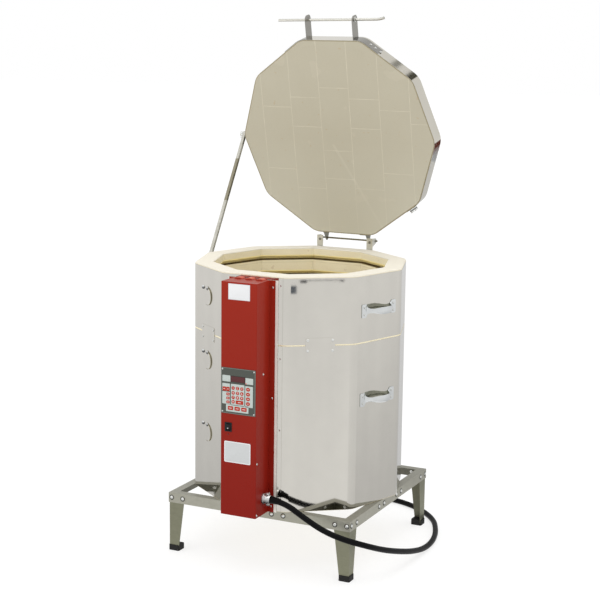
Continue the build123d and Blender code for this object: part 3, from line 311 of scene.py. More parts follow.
def card(name, ends, rise, half_height, distance, tone):
    """A card hung where the places at its two ends mirror it, seen from the front."""
    finish = Finish(name, {**mirrored_glow, "Emission Color": (*tone, 1)})
    middles = []
    for place, normal in ends:
        sight = (place - camera_place).normalized()
        middles.append(place + (sight - normal * 2 * sight.dot(normal)) * distance)
    below, over = rise * -half_height, rise * half_height
    corners = [middles[0] + below, middles[1] + below, middles[1] + over, middles[0] + over]
    stage_sheet(name, corners, [(0, 1, 2, 3)], finish.material, True)


# where each card's ends show, as angle and distance along that side of the band, and its tone
band_cards = [
    ((36, 0.020), (36, 0.046), (0.34, 0.34, 0.32)),
    ((36, 0.088), (51, 0), (0.07, 0.07, 0.05)),
    ((91, 0), (108, -0.080), (0.13, 0.03, 0.02)),
    ((108, -0.078), (108, -0.010), (0.46, 0.48, 0.52)),
]
for number, (first, last, tone) in enumerate(band_cards):
    card(f"studio_band_card_{number}", (in_band(*first), in_band(*last)), lid_back, 0.1, 0.5, tone)
# along the side from one end to the other, height, half height and tone
jacket_cards = [
    (-0.104, -0.082, 0.969, 0.014, (0.12, 0.14, 0.17)),
    (-0.070, -0.048, 0.996, 0.005, (0.04, 0.04, 0.05)),
    (0.064, 0.078, 0.997, 0.003, (0.06, 0.06, 0.07)),
    (-0.048, 0.064, 0.999, 0.0015, (0.24, 0.24, 0.24)),
]
for number, (first, last, height, half_height, tone) in enumerate(jacket_cards):
    ends = [(on_side(36, along, 0, height), side_axes(36)[0]) for along in (first, last)]
    card(f"studio_jacket_card_{number}", ends, Vector((0, 0, 1)), half_height, 0.25, tone)

world = bpy.data.worlds.new("white_room")
scene.world = world
world.use_nodes = True
background = world.node_tree.nodes["Background"].inputs
background["Color"].default_value = (1, 1, 1, 1)
background["Strength"].default_value = 1.0


def softbox(name, position, target, width, power):
    """A square area light aimed at a point."""
    light = bpy.data.lights.new(name, "AREA")
    light.size = width
    light.energy = power
    lamp = bpy.data.objects.new(name, light)
    lamp.location = position
    lamp.rotation_euler = (Vector(target) - Vector(position)).to_track_quat("-Z", "Y").to_euler()
    scene.collection.objects.link(lamp)


softbox("softbox_above", (0.4, -0.4, 4.2), (0, 0, 0.9), 3.2, 42)
softbox("softbox_front", (-2.6, -3.6, 2.2), (0, 0, 0.9), 1.8, 16)
scene.view_settings.view_transform = "Standard"

# the camera's turns, in degrees: to the kiln's right, down from level, and about its own axis
camera_yaw, camera_pitch, camera_roll = 25.76, 10.2, 0.71
camera_data = bpy.data.cameras.new("camera")
camera_data.lens = 88.99
camera_data.sensor_width = 36
camera = bpy.data.objects.new("camera", camera_data)
camera_matrix = Matrix.Translation(camera_place)
for turn, axis in ((camera_yaw, "Z"), (90 - camera_pitch, "X"), (camera_roll, "Z")):
    camera_matrix = camera_matrix @ Matrix.Rotation(math.radians(turn), 4, axis)
camera.matrix_world = camera_matrix
scene.collection.objects.link(camera)
scene.camera = camera


# Stand
# Rolled angle rails, tapered angle legs and flat corner strips of galvanised sheet steel,
# cut and folded cold. The zinc shows as a dull grey with faint crystals and soft streaks, and
# faces turned in towards the kiln carry painted shade.
def galvanised(name, colour, dark, roughness, film=0):
    """Zinc-coated sheet: crystals, soft streaks, and painted shade on faces turned in, by the share
    film.
    """
    finish = Finish(name, {"Metallic": 0.85})
    cells = {"Vector": finish.place(), "Scale": 95.0}
    spangle = finish.parts(finish.node("TexVoronoi", {}, cells, "Color"))[0]
    clouds = finish.noise(7.0, 4.0)
    streaks = finish.noise(40.0, 4.0, (1, 1, 5))
    mask = spangle * 0.15 + clouds * 0.50 + streaks * 0.35
    # painted shade: faces turned in towards the kiln's axis are darkened by the share film
    inward_painted_shade = (finish.outwards() < -0.05) * film
    tone = finish.between(inward_painted_shade, finish.between(mask, dark, colour), (66, 66, 58))
    ripples = finish.noise(60.0, 3.0, (1, 1, 6))
    return finish.coat(tone, roughness + spangle * 0.10 + clouds * 0.08, ripples, 0.0003, 0.25)


# the last number of each is the share of painted shade on faces turned in
rail_zinc = galvanised("rail_zinc", (180, 179, 168), (140, 138, 124), 0.34, 0.7)
leg_zinc = galvanised("leg_zinc", (142, 142, 122), (108, 108, 90), 0.38, 0.5)
# painted shade: the corner strips lie under the kiln, so their zinc is painted darker
strip_zinc_painted_shade = galvanised("corner_strip_painted_shade", (132, 131, 120), (86, 85, 76), 0.34, 0.5)
dress(rail_zinc, "stand_front_rail", "stand_back_rail", "stand_left_rail", "stand_right_rail")
dress(strip_zinc_painted_shade, "stand_corner_braces")
dress(leg_zinc, "stand_leg_front_left", "stand_leg_front_right")
dress(leg_zinc, "stand_leg_back_left", "stand_leg_back_right")


# Stand bolts
# Zinc-plated bolts through rails, legs and corner strips. They are cold headed, with low
# domed heads outside, and hexagon nuts inside, from which the end of each bolt stands out.
# Dark rings under the outside heads are painted shade.
class Shell:
    """The points and faces of one piece in the making."""

    def __init__(self):
        self.points = []
        self.faces = []

    def loft(self, rings, closed=False):
        """Adds a skin over rings that match point to point, with two end faces unless closed."""
        start, count = len(self.points), len(rings[0])
        for ring in rings:
            self.points.extend(ring)
        for step in range(len(rings) if closed else len(rings) - 1):
            low, high = start + step * count, start + (step + 1) % len(rings) * count
            for corner in range(count):
                beside = (corner + 1) % count
                self.faces.append((low + corner, low + beside, high + beside, high + corner))
        if not closed:
            self.faces.append(tuple(range(start + count - 1, start - 1, -1)))
            self.faces.append(tuple(range(len(self.points) - count, len(self.points))))

    def turned(self, places, angles, profile):
        """Adds a turned form at each seat: for each part of its height, parts of its radius."""
        for number, (base, axis, radius, height) in enumerate(places):
            first = axis.orthogonal().normalized()
            second = axis.cross(first)
            spin = number * 37 % 90
            rings = []
            for level, reaches in profile:
                reaches = reaches if isinstance(reaches, list) else [reaches] * len(angles)
                ring = []
                for angle, reach in zip(angles, reaches):
                    turn = math.radians(angle + spin)
                    aside = first * math.cos(turn) + second * math.sin(turn)
                    ring.append(base + axis * level * height + aside * reach * radius)
                rings.append(ring)
            self.loft(rings)

    def piece(self, name, finish, slot, *replaced, body="kiln_body", crease=35):
        """The piece, smooth over every edge that bends less than the crease."""
        mesh = bpy.data.meshes.new(name)
        mesh.from_pydata(self.points, [], self.faces)
        shape = bmesh.new()
        shape.from_mesh(mesh)
        bmesh.ops.recalc_face_normals(shape, faces=shape.faces)
        shape.to_mesh(mesh)
        shape.free()
        mesh.shade_smooth()
        mesh.set_sharp_from_angle(angle=math.radians(crease))
        make_piece(name, mesh, finish, slot, *replaced, body=body)


def seats(node, middle):
    """Where a node's fasteners sit: base, axis away from a middle point, radius and height."""
    shape = bmesh.new()
    shape.from_mesh(nodes[node].data)
    bmesh.ops.remove_doubles(shape, verts=shape.verts, dist=0.00001)
    seen = set()
    found = []
    for first in shape.verts:
        if first in seen:
            continue
        seen.add(first)
        island = [first]
        for vert in island:
            for edge in vert.link_edges:
                other = edge.other_vert(vert)
                if other not in seen:
                    seen.add(other)
                    island.append(other)
        faces = [face for vert in island for face in vert.link_faces]

        def area_across(direction):
            return sum(face.calc_area() for face in faces if abs(face.normal.dot(direction)) > 0.999)

        axis = max((face.normal for face in faces), key=area_across).copy()
        centre = sum((vert.co for vert in island), Vector()) / len(island)
        if axis.dot(centre - middle) < 0:
            axis.negate()
        along = [(vert.co - centre).dot(axis) for vert in island]
        radius = max((vert.co - centre - axis * step).length for vert, step in zip(island, along))
        found.append((centre + axis * min(along), axis, radius, max(along) - min(along)))
    shape.free()
    return found


even_angles = [30 * step for step in range(12)]
cross_angles = [90 * quarter + part for quarter in range(4) for part in (-20, 20, 45)]


def hexagon_ring(radius):
    return [radius, radius * math.cos(math.radians(30))] * 6


def cross_ring(radius, corner):
    return [radius, radius, corner] * 4


def fasteners(name, finish, groups, *replaced, body="kiln_body", crease=35):
    """One piece of fasteners in groups: their seats, and the angles and profile of their heads."""
    shell = Shell()
    for group in groups:
        shell.turned(*group)
    shell.piece(name, finish, "bright_zinc", *replaced, body=body, crease=crease)


def mottled(name, constants, fineness, low, high, roughness, bump=None, painted_top_light=None):
    """A finish whose colour and roughness vary with one noise, and perhaps with painted light: lighter
    where a face turns up, darker where it turns down.
    """
    finish = Finish(name, constants)
    clouds = finish.noise(*fineness)
    mask = clouds
    # painted light: faces turned up are lightened and faces turned down darkened
    if painted_top_light:
        mask = clouds * painted_top_light[0] + finish.facing()[2] * painted_top_light[1] + painted_top_light[2]
    height = (clouds, *bump) if bump else ()
    return finish.coat(finish.between(mask, low, high), roughness[0] + clouds * roughness[1], *height)


domed_head = [(0, 0.98), (0.18, 1.0), (0.42, 0.92), (0.68, 0.72), (0.86, 0.48), (0.96, 0.22)]
hexagon_nut = [(0, 0.88), (0.08, hexagon_ring(1.0)), (0.88, hexagon_ring(1.0)), (1.0, 0.88)]
hexagon_nut += [(1.0, 0.45), (1.45, 0.45), (1.55, 0.38)]
rail_face = 0.3474
stand_middle = Vector((0.009, 0, 0))
bolt_places = []
nut_places = []
for base, axis, radius, height in seats("stand_bolts", stand_middle):
    if (base - stand_middle).dot(axis) > rail_face - 0.001:
        bolt_places.append((base, axis, radius, height))
    else:
        nut_places.append((base + axis * height, -axis, radius, height))

# painted light: plated heads are lighter where a face turns up and darker where it turns down, over a
# random tone
plated = mottled(
    "plated_fastener", {"Metallic": 1.0}, (400.0, 2.0), (84, 85, 82), (222, 223, 220), (0.12, 0.14),
    painted_top_light=(0.3, 0.9, 0.7),
)
fasteners("stand_bolt_heads", plated, [
    (bolt_places, even_angles, domed_head),
    (nut_places, even_angles, hexagon_nut),
], "stand_bolts")

# painted shade: thin dark rings under the domed heads stand for the shade round each head
shade_ring_profile = [(0, 1.42), (0.10, 1.45), (0.16, 1.40)]
bolt_shade_ring_zinc = galvanised("bolt_shade_ring_zinc", (92, 92, 84), (58, 58, 52), 0.42)
fasteners("stand_bolt_shade_rings", bolt_shade_ring_zinc, [(bolt_places, even_angles, shade_ring_profile)])

# Boots
# Black rubber caps pushed on the feet of the legs. They are moulded, with a faint dull bloom
# and small scuffs near the floor.
dress(mottled(
    "boot_rubber", {"Specular IOR Level": 0.25}, (90.0, 5.0, (1, 1, 3)), (14, 14, 15), (36, 35, 34),
    (0.55, 0.25), (0.0004, 0.3),
), "stand_boots")


# Brick walls and floor
# Soft insulating firebrick, sawn and grooved for the elements: cream, matt and full of
# fine pores. The courses are laid dry, so only thin lines show between them.
def firebrick(name, pale, warm, marks):
    """Porous brick: warm clouds, fine pores, and the marks laid over them."""
    finish = Finish(name, {"Specular IOR Level": 0.2})
    clouds = finish.noise(9.0, 5.0)
    grain = finish.noise(420.0, 3.0)
    cells = {"Vector": finish.place(), "Scale": 330.0}
    pores = finish.node("TexVoronoi", {}, cells, "Distance") < 0.22
    specks = finish.noise(60.0, 2.0) > 0.71
    colour = finish.between(clouds, pale, warm)
    colour = finish.between(pores * 0.16, colour, (150, 132, 98))
    colour = finish.between(specks * 0.22, colour, (176, 140, 92))
    height = grain * 0.5 - pores * 0.5
    for mark, mark_colour, depth in marks(finish):
        colour = finish.between(mark, colour, mark_colour)
        height = height - mark * depth
    return finish.coat(colour, 0.86 + grain * 0.12, height, 0.0010, 0.35)


course_height = 0.1143
groove_pitch = course_height / 2
groove_height = 0.015
first_groove = 0.9674
last_groove = first_groove - 11 * groove_pitch
groove_light_rise, groove_floor_shade_height = 0.004, 0.0045
rows_foot, rows_top = last_groove - 0.002, first_groove + groove_height + 0.006
wall_joint_half, floor_joint_half = 0.0007, 0.0008
wall_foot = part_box("lower_brick_wall")[0].z
rim_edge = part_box("upper_brick_wall")[1].z - 0.0035


def wall_marks(finish):
    """Thin dry joints between the courses, painted light in the grooves with painted shade along their
    floors, and painted shade on the top of the rim.
    """
    _, _, height = finish.where()
    from_joint = abs((height - wall_foot + course_height / 2) % course_height - course_height / 2)
    above_groove = (height - last_groove) % groove_pitch
    in_rows = (height > rows_foot) * (height < rows_top)
    # painted light: the grooves and a few millimetres above them are painted a bright yellow cream
    groove_painted_light = (above_groove < groove_height + groove_light_rise) * in_rows
    # painted shade: a dark brown line along the floor of each groove
    foot = (above_groove < groove_floor_shade_height) * in_rows
    return [
        ((from_joint < wall_joint_half) * 0.35, (186, 170, 132), 0.6),
        (groove_painted_light, (255, 238, 172), 0),
        (foot * 0.75, (96, 72, 34), 0),
        # painted shade: the top of the rim is painted greyer and darker than the walls
        ((height > rim_edge) * 0.9, (223, 218, 206), 0),
    ]


wall_brick = firebrick("wall_brick", (248, 240, 212), (238, 226, 192), wall_marks)
dress(wall_brick, "upper_brick_wall", "lower_brick_wall")


def floor_marks(finish):
    """Joints of the cemented floor bricks, in columns one brick wide."""
    x, _, _ = finish.where()
    from_joint = abs((x + course_height) % course_height - course_height / 2)
    return [((from_joint < floor_joint_half) * 0.5, (170, 152, 118), 0.6)]


dress(firebrick("floor_brick", (240, 230, 204), (222, 206, 172), floor_marks), "floor_slab")

# Heating elements
# One coil of iron-chrome-aluminium wire in each groove, wound on a mandrel, stretched and
# pinned behind the lip. Firing leaves it dark brown and dull. Its ends pass out through the
# front wall to terminals behind the control box.
coil_turn_radius = 0.0024
wire_radius = 0.0008
coil_pitch = 0.0070
coil_rise = 0.0032
coil_apothem = 0.3055
coil_corner = coil_apothem / math.cos(math.radians(18)) - 0.005
coil_gap, coil_tail = 0.014, 0.322
points_a_turn = 8
element_wire = mottled(
    "element_wire", {"Metallic": 0.5}, (500.0, 3.0), (58, 44, 26), (98, 78, 50), (0.5, 0.3),
)


def coil_path(height):
    """Points of one coil, from its end on the right of the gap round to its end on the left."""
    start = math.atan2(coil_gap, coil_apothem)
    travelled = 0
    angle = start
    path = [Vector((coil_gap, -coil_tail, height))]
    while angle < 2 * math.pi - start:
        from_middle = (angle + math.radians(18)) % math.radians(36) - math.radians(18)
        reach = min(coil_apothem / math.cos(from_middle), coil_corner)
        outward = Vector((math.sin(angle), -math.cos(angle), 0))
        wind = 2 * math.pi * travelled / coil_pitch
        aside = outward * math.cos(wind) + Vector((0, 0, 1)) * math.sin(wind)
        path.append(outward * reach + Vector((0, 0, height)) + aside * coil_turn_radius)
        travelled += coil_pitch / points_a_turn
        angle += coil_pitch / points_a_turn / reach
    path.append(Vector((-coil_gap, -coil_tail, height)))
    return path


def tube(name, radius, roundness):
    """A curve with a round section, with no line in it yet."""
    curve = bpy.data.curves.new(name, "CURVE")
    curve.dimensions = "3D"
    curve.bevel_depth = radius
    curve.bevel_resolution = roundness
    curve.use_fill_caps = True
    return curve


def add_line(curve, kind, places):
    """A line of a curve through these places, or a smooth one that they control."""
    line = curve.splines.new(kind)
    line.points.add(len(places) - 1)
    for point, place in zip(line.points, places):
        point.co = (*place, 1)
    if kind == "NURBS":
        line.order_u = 3
        line.use_endpoint_u = True
    return line


for ring, levels in (("upper", range(4)), ("lower", range(4, 12))):
    name = f"{ring}_element_coils"
    coils = tube(name, wire_radius, 0)
    for level in levels:
        add_line(coils, "POLY", coil_path(first_groove - level * groove_pitch + coil_rise))
    make_piece(name, coils, element_wire, "element_wire", f"{ring}_heating_elements")
dress(element_wire, "element_terminals")

# Thermocouple
# A white porcelain tube with a moulded head, pushed through the wall behind the box. It is
# unglazed and faintly stained by heat at the tip.
dress(
    mottled("porcelain", {}, (70.0, 3.0), (238, 232, 220), (214, 200, 178), (0.4, 0.2)),
    "thermocouple",
)


# Jackets
# Bright rolled stainless sheet, folded at each corner of the kiln and drawn tight round it.
# It is almost a mirror, with a fine grain round the kiln and slight waves between the folds.
# The ends meet under a narrow strip to the right of the control box.
def bright_sheet(name, colour, dull, roughness, wave):
    """Rolled stainless: fine grain, slow waves, and a trace of heat and handling."""
    finish = Finish(name, {"Metallic": 1.0})
    grain = finish.noise(12.0, 2.0, (4, 4, 260))
    waves = finish.noise(5.0, 1.0, (1, 1, 0.5))
    folds = finish.noise(15.0, 1.0, (1, 1, 0.10))
    marks = finish.noise(16.0, 6.0)
    tone = finish.between(waves * 0.3 + marks * 0.3 + folds * 0.4, dull, colour)
    height = waves * wave + folds * 0.30 + grain * 0.02
    return finish.coat(tone, roughness + grain * 0.04 + marks * 0.03, height, 0.004, 0.10)


jacket_steel = bright_sheet("jacket_steel", (212, 209, 201), (189, 186, 180), 0.045, 1.0)
dress(jacket_steel, "upper_jacket", "lower_jacket", "ring_joint_plates")

# across the strip from the left: how far it springs out from the jacket
strip_line = [(0.0908, 0.0011), (0.0912, 0.0016), (0.0950, 0.0013), (0.0985, 0.0010)]
strip_line += [(0.1025, 0.0008), (0.1058, 0.0007), (0.1062, 0.0004), (0.1062, 0), (0.0908, 0)]
strip_end = 0.001
for ring in ("upper", "lower"):
    low, high = [corner.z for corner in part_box(f"{ring}_jacket")]
    heights = (low, low + strip_end, high - strip_end, high)
    strip = Shell()
    strip.loft([[on_side(0, *place, height) for place in strip_line] for height in heights])
    strip.piece(f"{ring}_seam_strip", jacket_steel, "stainless_jacket", crease=20)

# Jacket screws
# Self-tapping screws with hexagon heads formed on a washer, zinc plated: they hold the joint
# plates, the lift handles, the seam strips and the hinge straps.
washer_screw = [(0, 1.12), (0.16, 1.16), (0.30, 1.06), (0.34, hexagon_ring(0.92))]
washer_screw += [(0.86, hexagon_ring(0.92)), (1.0, 0.74), (0.90, 0.52)]
pan_screw = [(0, 0.98), (0.30, 1.0), (0.70, 0.90), (1.0, 0.68)]
pan_screw += [(1.0, cross_ring(0.56, 0.22)), (0.45, cross_ring(0.40, 0.16))]
body_middle = Vector((0, 0, 0.6))
screw_group = (seats("jacket_screws", body_middle), even_angles, washer_screw)
fasteners("jacket_screw_heads", plated, [screw_group], "jacket_screws", crease=25)

# Lift handles
# Each is pressed from one steel strip: flat feet, narrow necks and a wide hollow grip that is
# rounded across its front. They are chrome plated outside and dull inside, and two screws
# hold each foot.
handle_half = 0.086
handle_foot_start = 0.061
handle_reach = 0.042
handle_sheet = 0.0025
handle_rise = handle_reach - handle_sheet
handle_arc = (handle_foot_start**2 + handle_rise**2) / (2 * handle_rise)
handle_bulge = 0.0034
# along the handle from its middle: how high it stands, and how much of the bulge it has
handle_heights = [
    (0.000, 0.0240, 1.0),
    (0.020, 0.0236, 1.0),
    (0.034, 0.0196, 0.8),
    (0.046, 0.0148, 0.6),
    (0.054, 0.0150, 0.5),
    (0.059, 0.0230, 0.3),
    (0.0625, 0.0400, 0.0),
    (0.066, 0.0460, 0.0),
    (0.083, 0.0460, 0.0),
    (0.086, 0.0400, 0.0),
]


def handle_shape(along):
    """Height and bulge of the handle at one distance from its middle."""
    for (near, low, soft), (far, high, hard) in zip(handle_heights, handle_heights[1:]):
        if abs(along) <= far:
            share = (abs(along) - near) / (far - near)
            share = share * share * (3 - 2 * share)
            return low + (high - low) * share, soft + (hard - soft) * share


def handle_line():
    """The middle of the strip seen from above: foot, arch and foot."""
    feet = [handle_half, 0.0845, 0.083, 0.078, 0.072, 0.066, 0.0635]
    line = [(-along, handle_sheet / 2) for along in feet]
    steps = 30
    swing = math.asin(handle_foot_start / handle_arc)
    for step in range(steps + 1):
        turn = swing * (2 * step / steps - 1)
        out = handle_reach - handle_sheet / 2 - handle_bulge - handle_arc * (1 - math.cos(turn))
        line.append((handle_arc * math.sin(turn), max(out, handle_sheet / 2)))
    return line + [(along, handle_sheet / 2) for along in reversed(feet)]


def lift_handle(shell, angle, height):
    """Adds one handle: sections across the strip, set along its line."""
    line = handle_line()
    rings = []
    for number, (along, out) in enumerate(line):
        before = line[max(number - 1, 0)]
        after = line[min(number + 1, len(line) - 1)]
        slope = math.atan2(after[1] - before[1], after[0] - before[0])
        tall, bulge = handle_shape(along)
        ring = []
        for side, order in ((1, range(9)), (-1, range(8, -1, -1))):
            for step in order:
                share = step / 4 - 1
                edge = 1 - 0.35 * share**6
                crown = handle_bulge * bulge * (1 - share * share)
                lift = crown + side * edge * handle_sheet / 2
                ring.append(on_side(
                    angle,
                    along - math.sin(slope) * lift,
                    out + math.cos(slope) * lift,
                    height + share * tall / 2,
                ))
        rings.append(ring)
    shell.loft(rings)


chrome = Finish("bright_chrome", {"Metallic": 1.0})
inside = chrome.outwards() < 0
smudge = chrome.noise(45.0, 4.0)
chrome_outer = chrome.between(smudge, (196, 199, 199), (216, 218, 218))
chrome_tone = chrome.between(inside, chrome_outer, (203, 209, 201))
chrome_plate = chrome.coat(chrome_tone, 0.05 + smudge * 0.05 + inside * 0.10)
for ring, height in (("upper", 0.888), ("lower", 0.584)):
    handles = Shell()
    for angle in (72, -108):
        lift_handle(handles, angle, height)
    handles.piece(
        f"{ring}_pressed_handles", chrome_plate, "chrome_handle", f"{ring}_lift_handles", crease=50,
    )

# Peephole covers
# Small discs of the jacket's bright sheet. Each hangs from one screw through its ear, beside
# a domed stop. Its right edge is turned out for a finger, and is painted darker there as shade.
peephole_side = -36
peephole_place = -0.006
peephole_heights = {"upper": 0.908, "middle": 0.684, "lower": 0.428}
disc_radius, disc_back, disc_front, turned_edge = 0.031, 0.0006, 0.0018, 0.0021
# radius, height on the flat, and share of the turned edge
disc_profile = [
    (0.0304, disc_back, 0),
    (disc_radius, disc_back + 0.0004, 0),
    (disc_radius + 0.0001, disc_front - 0.0003, 0.5),
    (disc_radius, disc_front, 0.95),
    (disc_radius - 0.0005, disc_front + 0.0002, 1),
    (disc_radius - 0.0010, disc_front, 0.95),
    (disc_radius - 0.0012, disc_front, 0.4),
    (disc_radius - 0.0020, disc_front, 0),
    (0.0140, disc_front, 0),
    (0.0004, disc_front, 0),
]
ear_profile = [(0.0070, 0.0006, 0), (0.0075, 0.0009, 0), (0.0075, 0.0015, 0), (0.0071, 0.0018, 0)]
pivot_rise = 0.027
lip_half, lip_sheet = 0.00775, 0.0006
shade_start_radius, shade_start_along = 0.0293, 0.008
lip_line = [(0.0010, -0.0296), (0.0040, -0.0296), (0.0058, -0.0300), (0.0066, -0.0308)]


def disc_sheet(name, height):
    """The jacket's sheet again, with painted shade on the turned edge of a disc at one height."""
    finish = Finish(name, {"Metallic": 1.0})
    x, y, z = finish.where()
    turn = math.radians(peephole_side)
    along = x * math.cos(turn) + y * math.sin(turn) - peephole_place
    # painted shade: the turned-out right edge is painted darker and browner
    edge_painted_shade = (along * along + (z - height) * (z - height)) > shade_start_radius**2
    edge_painted_shade = edge_painted_shade * (along > shade_start_along) * 0.85
    clouds = finish.noise(30.0, 3.0)
    sheet = finish.between(clouds, (196, 193, 186), (206, 203, 196))
    return finish.coat(finish.between(edge_painted_shade, sheet, (178, 173, 150)), 0.05 + clouds * 0.05)


for name, height in peephole_heights.items():
    disc = Shell()
    for profile, rise in ((disc_profile, 0), (ear_profile, pivot_rise)):
        rings = []
        for radius, flat, share in profile:
            ring = []
            for step in range(48):
                turn = math.radians(step * 7.5)
                along = peephole_place + radius * math.sin(turn)
                out = flat + share * turned_edge * max(math.sin(turn), 0)**0.6
                ring.append(on_side(peephole_side, along, out, height + rise + radius * math.cos(turn)))
            rings.append(ring)
        disc.loft(rings)
    rings = []
    for out, drop in lip_line:
        rings.append([
            on_side(peephole_side, peephole_place + aside, out, height + drop + rise)
            for aside, rise in oblong(lip_half, lip_sheet)
        ])
    disc.loft(rings)
    disc.piece(
        f"cover_disc_{name}", disc_sheet(f"disc_steel_{name}", height), "polished_cover",
        f"peephole_cover_{name}", body=f"cover_{name}", crease=40,
    )

pivot_seats = seats("peephole_screws", body_middle)
pivot_shank = 0.006
pivot_head = [(0, 0.40), (0.40, 0.40), (0.41, 0.98), (0.62, 1.0), (0.85, 0.86), (1.0, 0.66)]
pivot_head += [(1.0, cross_ring(0.54, 0.20)), (0.74, cross_ring(0.38, 0.15))]
# painted light: dark zinc with a random tone, lighter where a face turns up and darker where it turns
# down
peephole_zinc_painted_light = mottled(
    "peephole_zinc_painted_light", {"Metallic": 0.9}, (300.0, 2.0), (78, 80, 82), (214, 216, 216), (0.16, 0.12),
    painted_top_light=(0.4, 1.2, 0.1),
)
fasteners("peephole_screw_heads", peephole_zinc_painted_light, [
    ([seat for seat in pivot_seats if seat[2] < pivot_shank], cross_angles, pivot_head),
    ([seat for seat in pivot_seats if seat[2] > pivot_shank], even_angles, domed_head),
], "peephole_screws")

# Lid slab
# Firebricks cemented edge to edge in long columns and ground flat. Use has turned the hot
# face grey-buff, and the cement lines stay a little paler.
lid_column = 0.1166
lid_reach, lid_corner_reach, lid_edge = 0.3610, 0.3765, 0.0022
lid_first_joint, lid_joint_end = -0.2905, 0.31
# half the width of a joint between columns, as a share of a column, and of an end joint
lid_joint_share, lid_joint_half = 0.009, 0.0011
# for each column from the left: how far its end joints lie from the middle, towards the hinge
lid_ends = [(), (-0.114, 0.122), (-0.152, -0.043, 0.192), (-0.190, 0.044, 0.151)]
lid_ends += [(-0.152, -0.043, 0.184), (-0.113, 0.120), (-0.067,)]


def lid_marks(finish):
    """Paler cement joints between the columns and at the ends of the bricks, pale stains and wear, a
    darker line round the edge, and painted light that makes the face paler towards the hinge.
    """
    x, y, z = finish.where()
    down = (y - lid_hinge_y) * math.cos(lid_angle) - (z - lid_hinge_z) * math.sin(lid_angle)
    down = down + lid_hinge_y
    wander = finish.noise(22.0, 2.0) * 0.003 - 0.0015
    column = (x + wander - lid_first_joint) / lid_column
    step = finish.node("Math", {"operation": "FLOOR"}, {0: column}, 0)
    joint = abs(column - step - 0.5) > 0.5 - lid_joint_share
    joint = joint * (abs(x + wander) < lid_joint_end)
    for number, ends in enumerate(lid_ends):
        in_column = abs(step - (number - 1)) < 0.5
        for end in ends:
            joint = joint | in_column * (abs(down + wander - end) < lid_joint_half)
    edge = (x * x + down * down) > (lid_corner_reach - lid_edge)**2
    for angle in range(0, 180, 36):
        turn = math.radians(angle)
        across_slab = x * math.sin(turn) - down * math.cos(turn)
        edge = edge | (abs(across_slab) > lid_reach - lid_edge)
    worn = finish.noise(26.0, 4.0)
    smears = finish.noise(11.0, 3.0) > 0.66
    scrape = abs((x + wander + 0.054) * 0.87 - (down + 0.045) * 0.49) < 0.0045
    scrape = scrape * (down > 0.02)
    return [
        # painted light: the slab is painted paler towards the hinge
        (down * 2.0, (206, 202, 184), 0),
        (smears * 0.10, (216, 208, 190), 0),
        (scrape * (worn * 0.4 - 0.06), (214, 208, 192), 0),
        (joint * (worn * 1.5 - 0.2), (210, 204, 186), 0.3),
        (edge * 0.7, (138, 126, 92), 0),
    ]


lid_brick = firebrick("lid_brick", (188, 182, 163), (182, 175, 155), lid_marks)
dress(lid_brick, "lid_slab")

# Lid band
# A stainless band round the edge of the slab, drawn tight by a bolt through two lugs.
band_steel = bright_sheet("band_steel", (204, 200, 190), (188, 184, 172), 0.08, 0.8)
dress(band_steel, "lid_band")
dress(plated, "lid_band_clamp")

lid_middle = sum(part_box("lid_slab"), Vector()) / 2
lid_group = (seats("lid_screws", lid_middle), even_angles, washer_screw)
fasteners("lid_screw_heads", plated, [lid_group], "lid_screws", body="lid", crease=25)

# Lid handle
# A round steel bar through two straps that are bent round the band's corners. Plain push nuts
# hold the bar, and its right end has been bent up a little by use.
handle_steel = bright_sheet("handle_steel", (150, 148, 142), (126, 124, 118), 0.20, 0.5)
bar_steel = bright_sheet("bar_steel", (206, 204, 196), (184, 182, 174), 0.16, 0.2)
dress(handle_steel, "lid_handle_strap_left", "lid_handle_strap_right")
dress(plated, "handle_push_nuts")
bar_low, bar_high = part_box("lid_handle_bar")
bar_middle = (bar_low + bar_high) / 2
# from the left end to the right: where, and how far the bar rises above its middle
bar_line = [(bar_low.x, -0.0060), (-0.10, -0.0040), (0, -0.0022), (0.10, -0.0008), (0.168, 0)]
bar_line += [(0.190, 0.0012), (bar_high.x - 0.001, 0.0060)]
bar = tube("lid_handle_rod", (bar_high.z - bar_low.z) / 2, 5)
add_line(bar, "NURBS", [(x, bar_middle.y, bar_middle.z + rise) for x, rise in bar_line])
make_piece("lid_handle_rod", bar, bar_steel, "polished_bar", "lid_handle_bar", body="lid")

# Hinge
# Folded galvanised straps turn on a plain steel rod behind the rim, held by push nuts. One
# cross-headed screw closes each body strap near its top.
strap_zinc = galvanised("strap_zinc", (222, 221, 212), (184, 181, 168), 0.26)
ear_zinc = galvanised("ear_zinc", (150, 148, 134), (108, 106, 94), 0.32)
dress(strap_zinc, "body_hinge_straps")
dress(ear_zinc, "lid_hinge_straps")
dress(plated, "hinge_push_nuts")

dress(mottled(
    "rod_steel", {"Metallic": 0.9}, (120.0, 3.0, (3, 1, 1)), (92, 84, 58), (142, 134, 104),
    (0.28, 0.2),
), "hinge_rod")

strap_screw_radius, strap_screw_height = 0.0052, 0.0018
strap_screws = [
    (Vector((x, 0.3655, 1.037)), Vector((0, -1, 0)), strap_screw_radius, strap_screw_height)
    for x in (-0.101, 0.101)
]
fasteners("hinge_strap_screws", ear_zinc, [(strap_screws, cross_angles, pan_screw)])

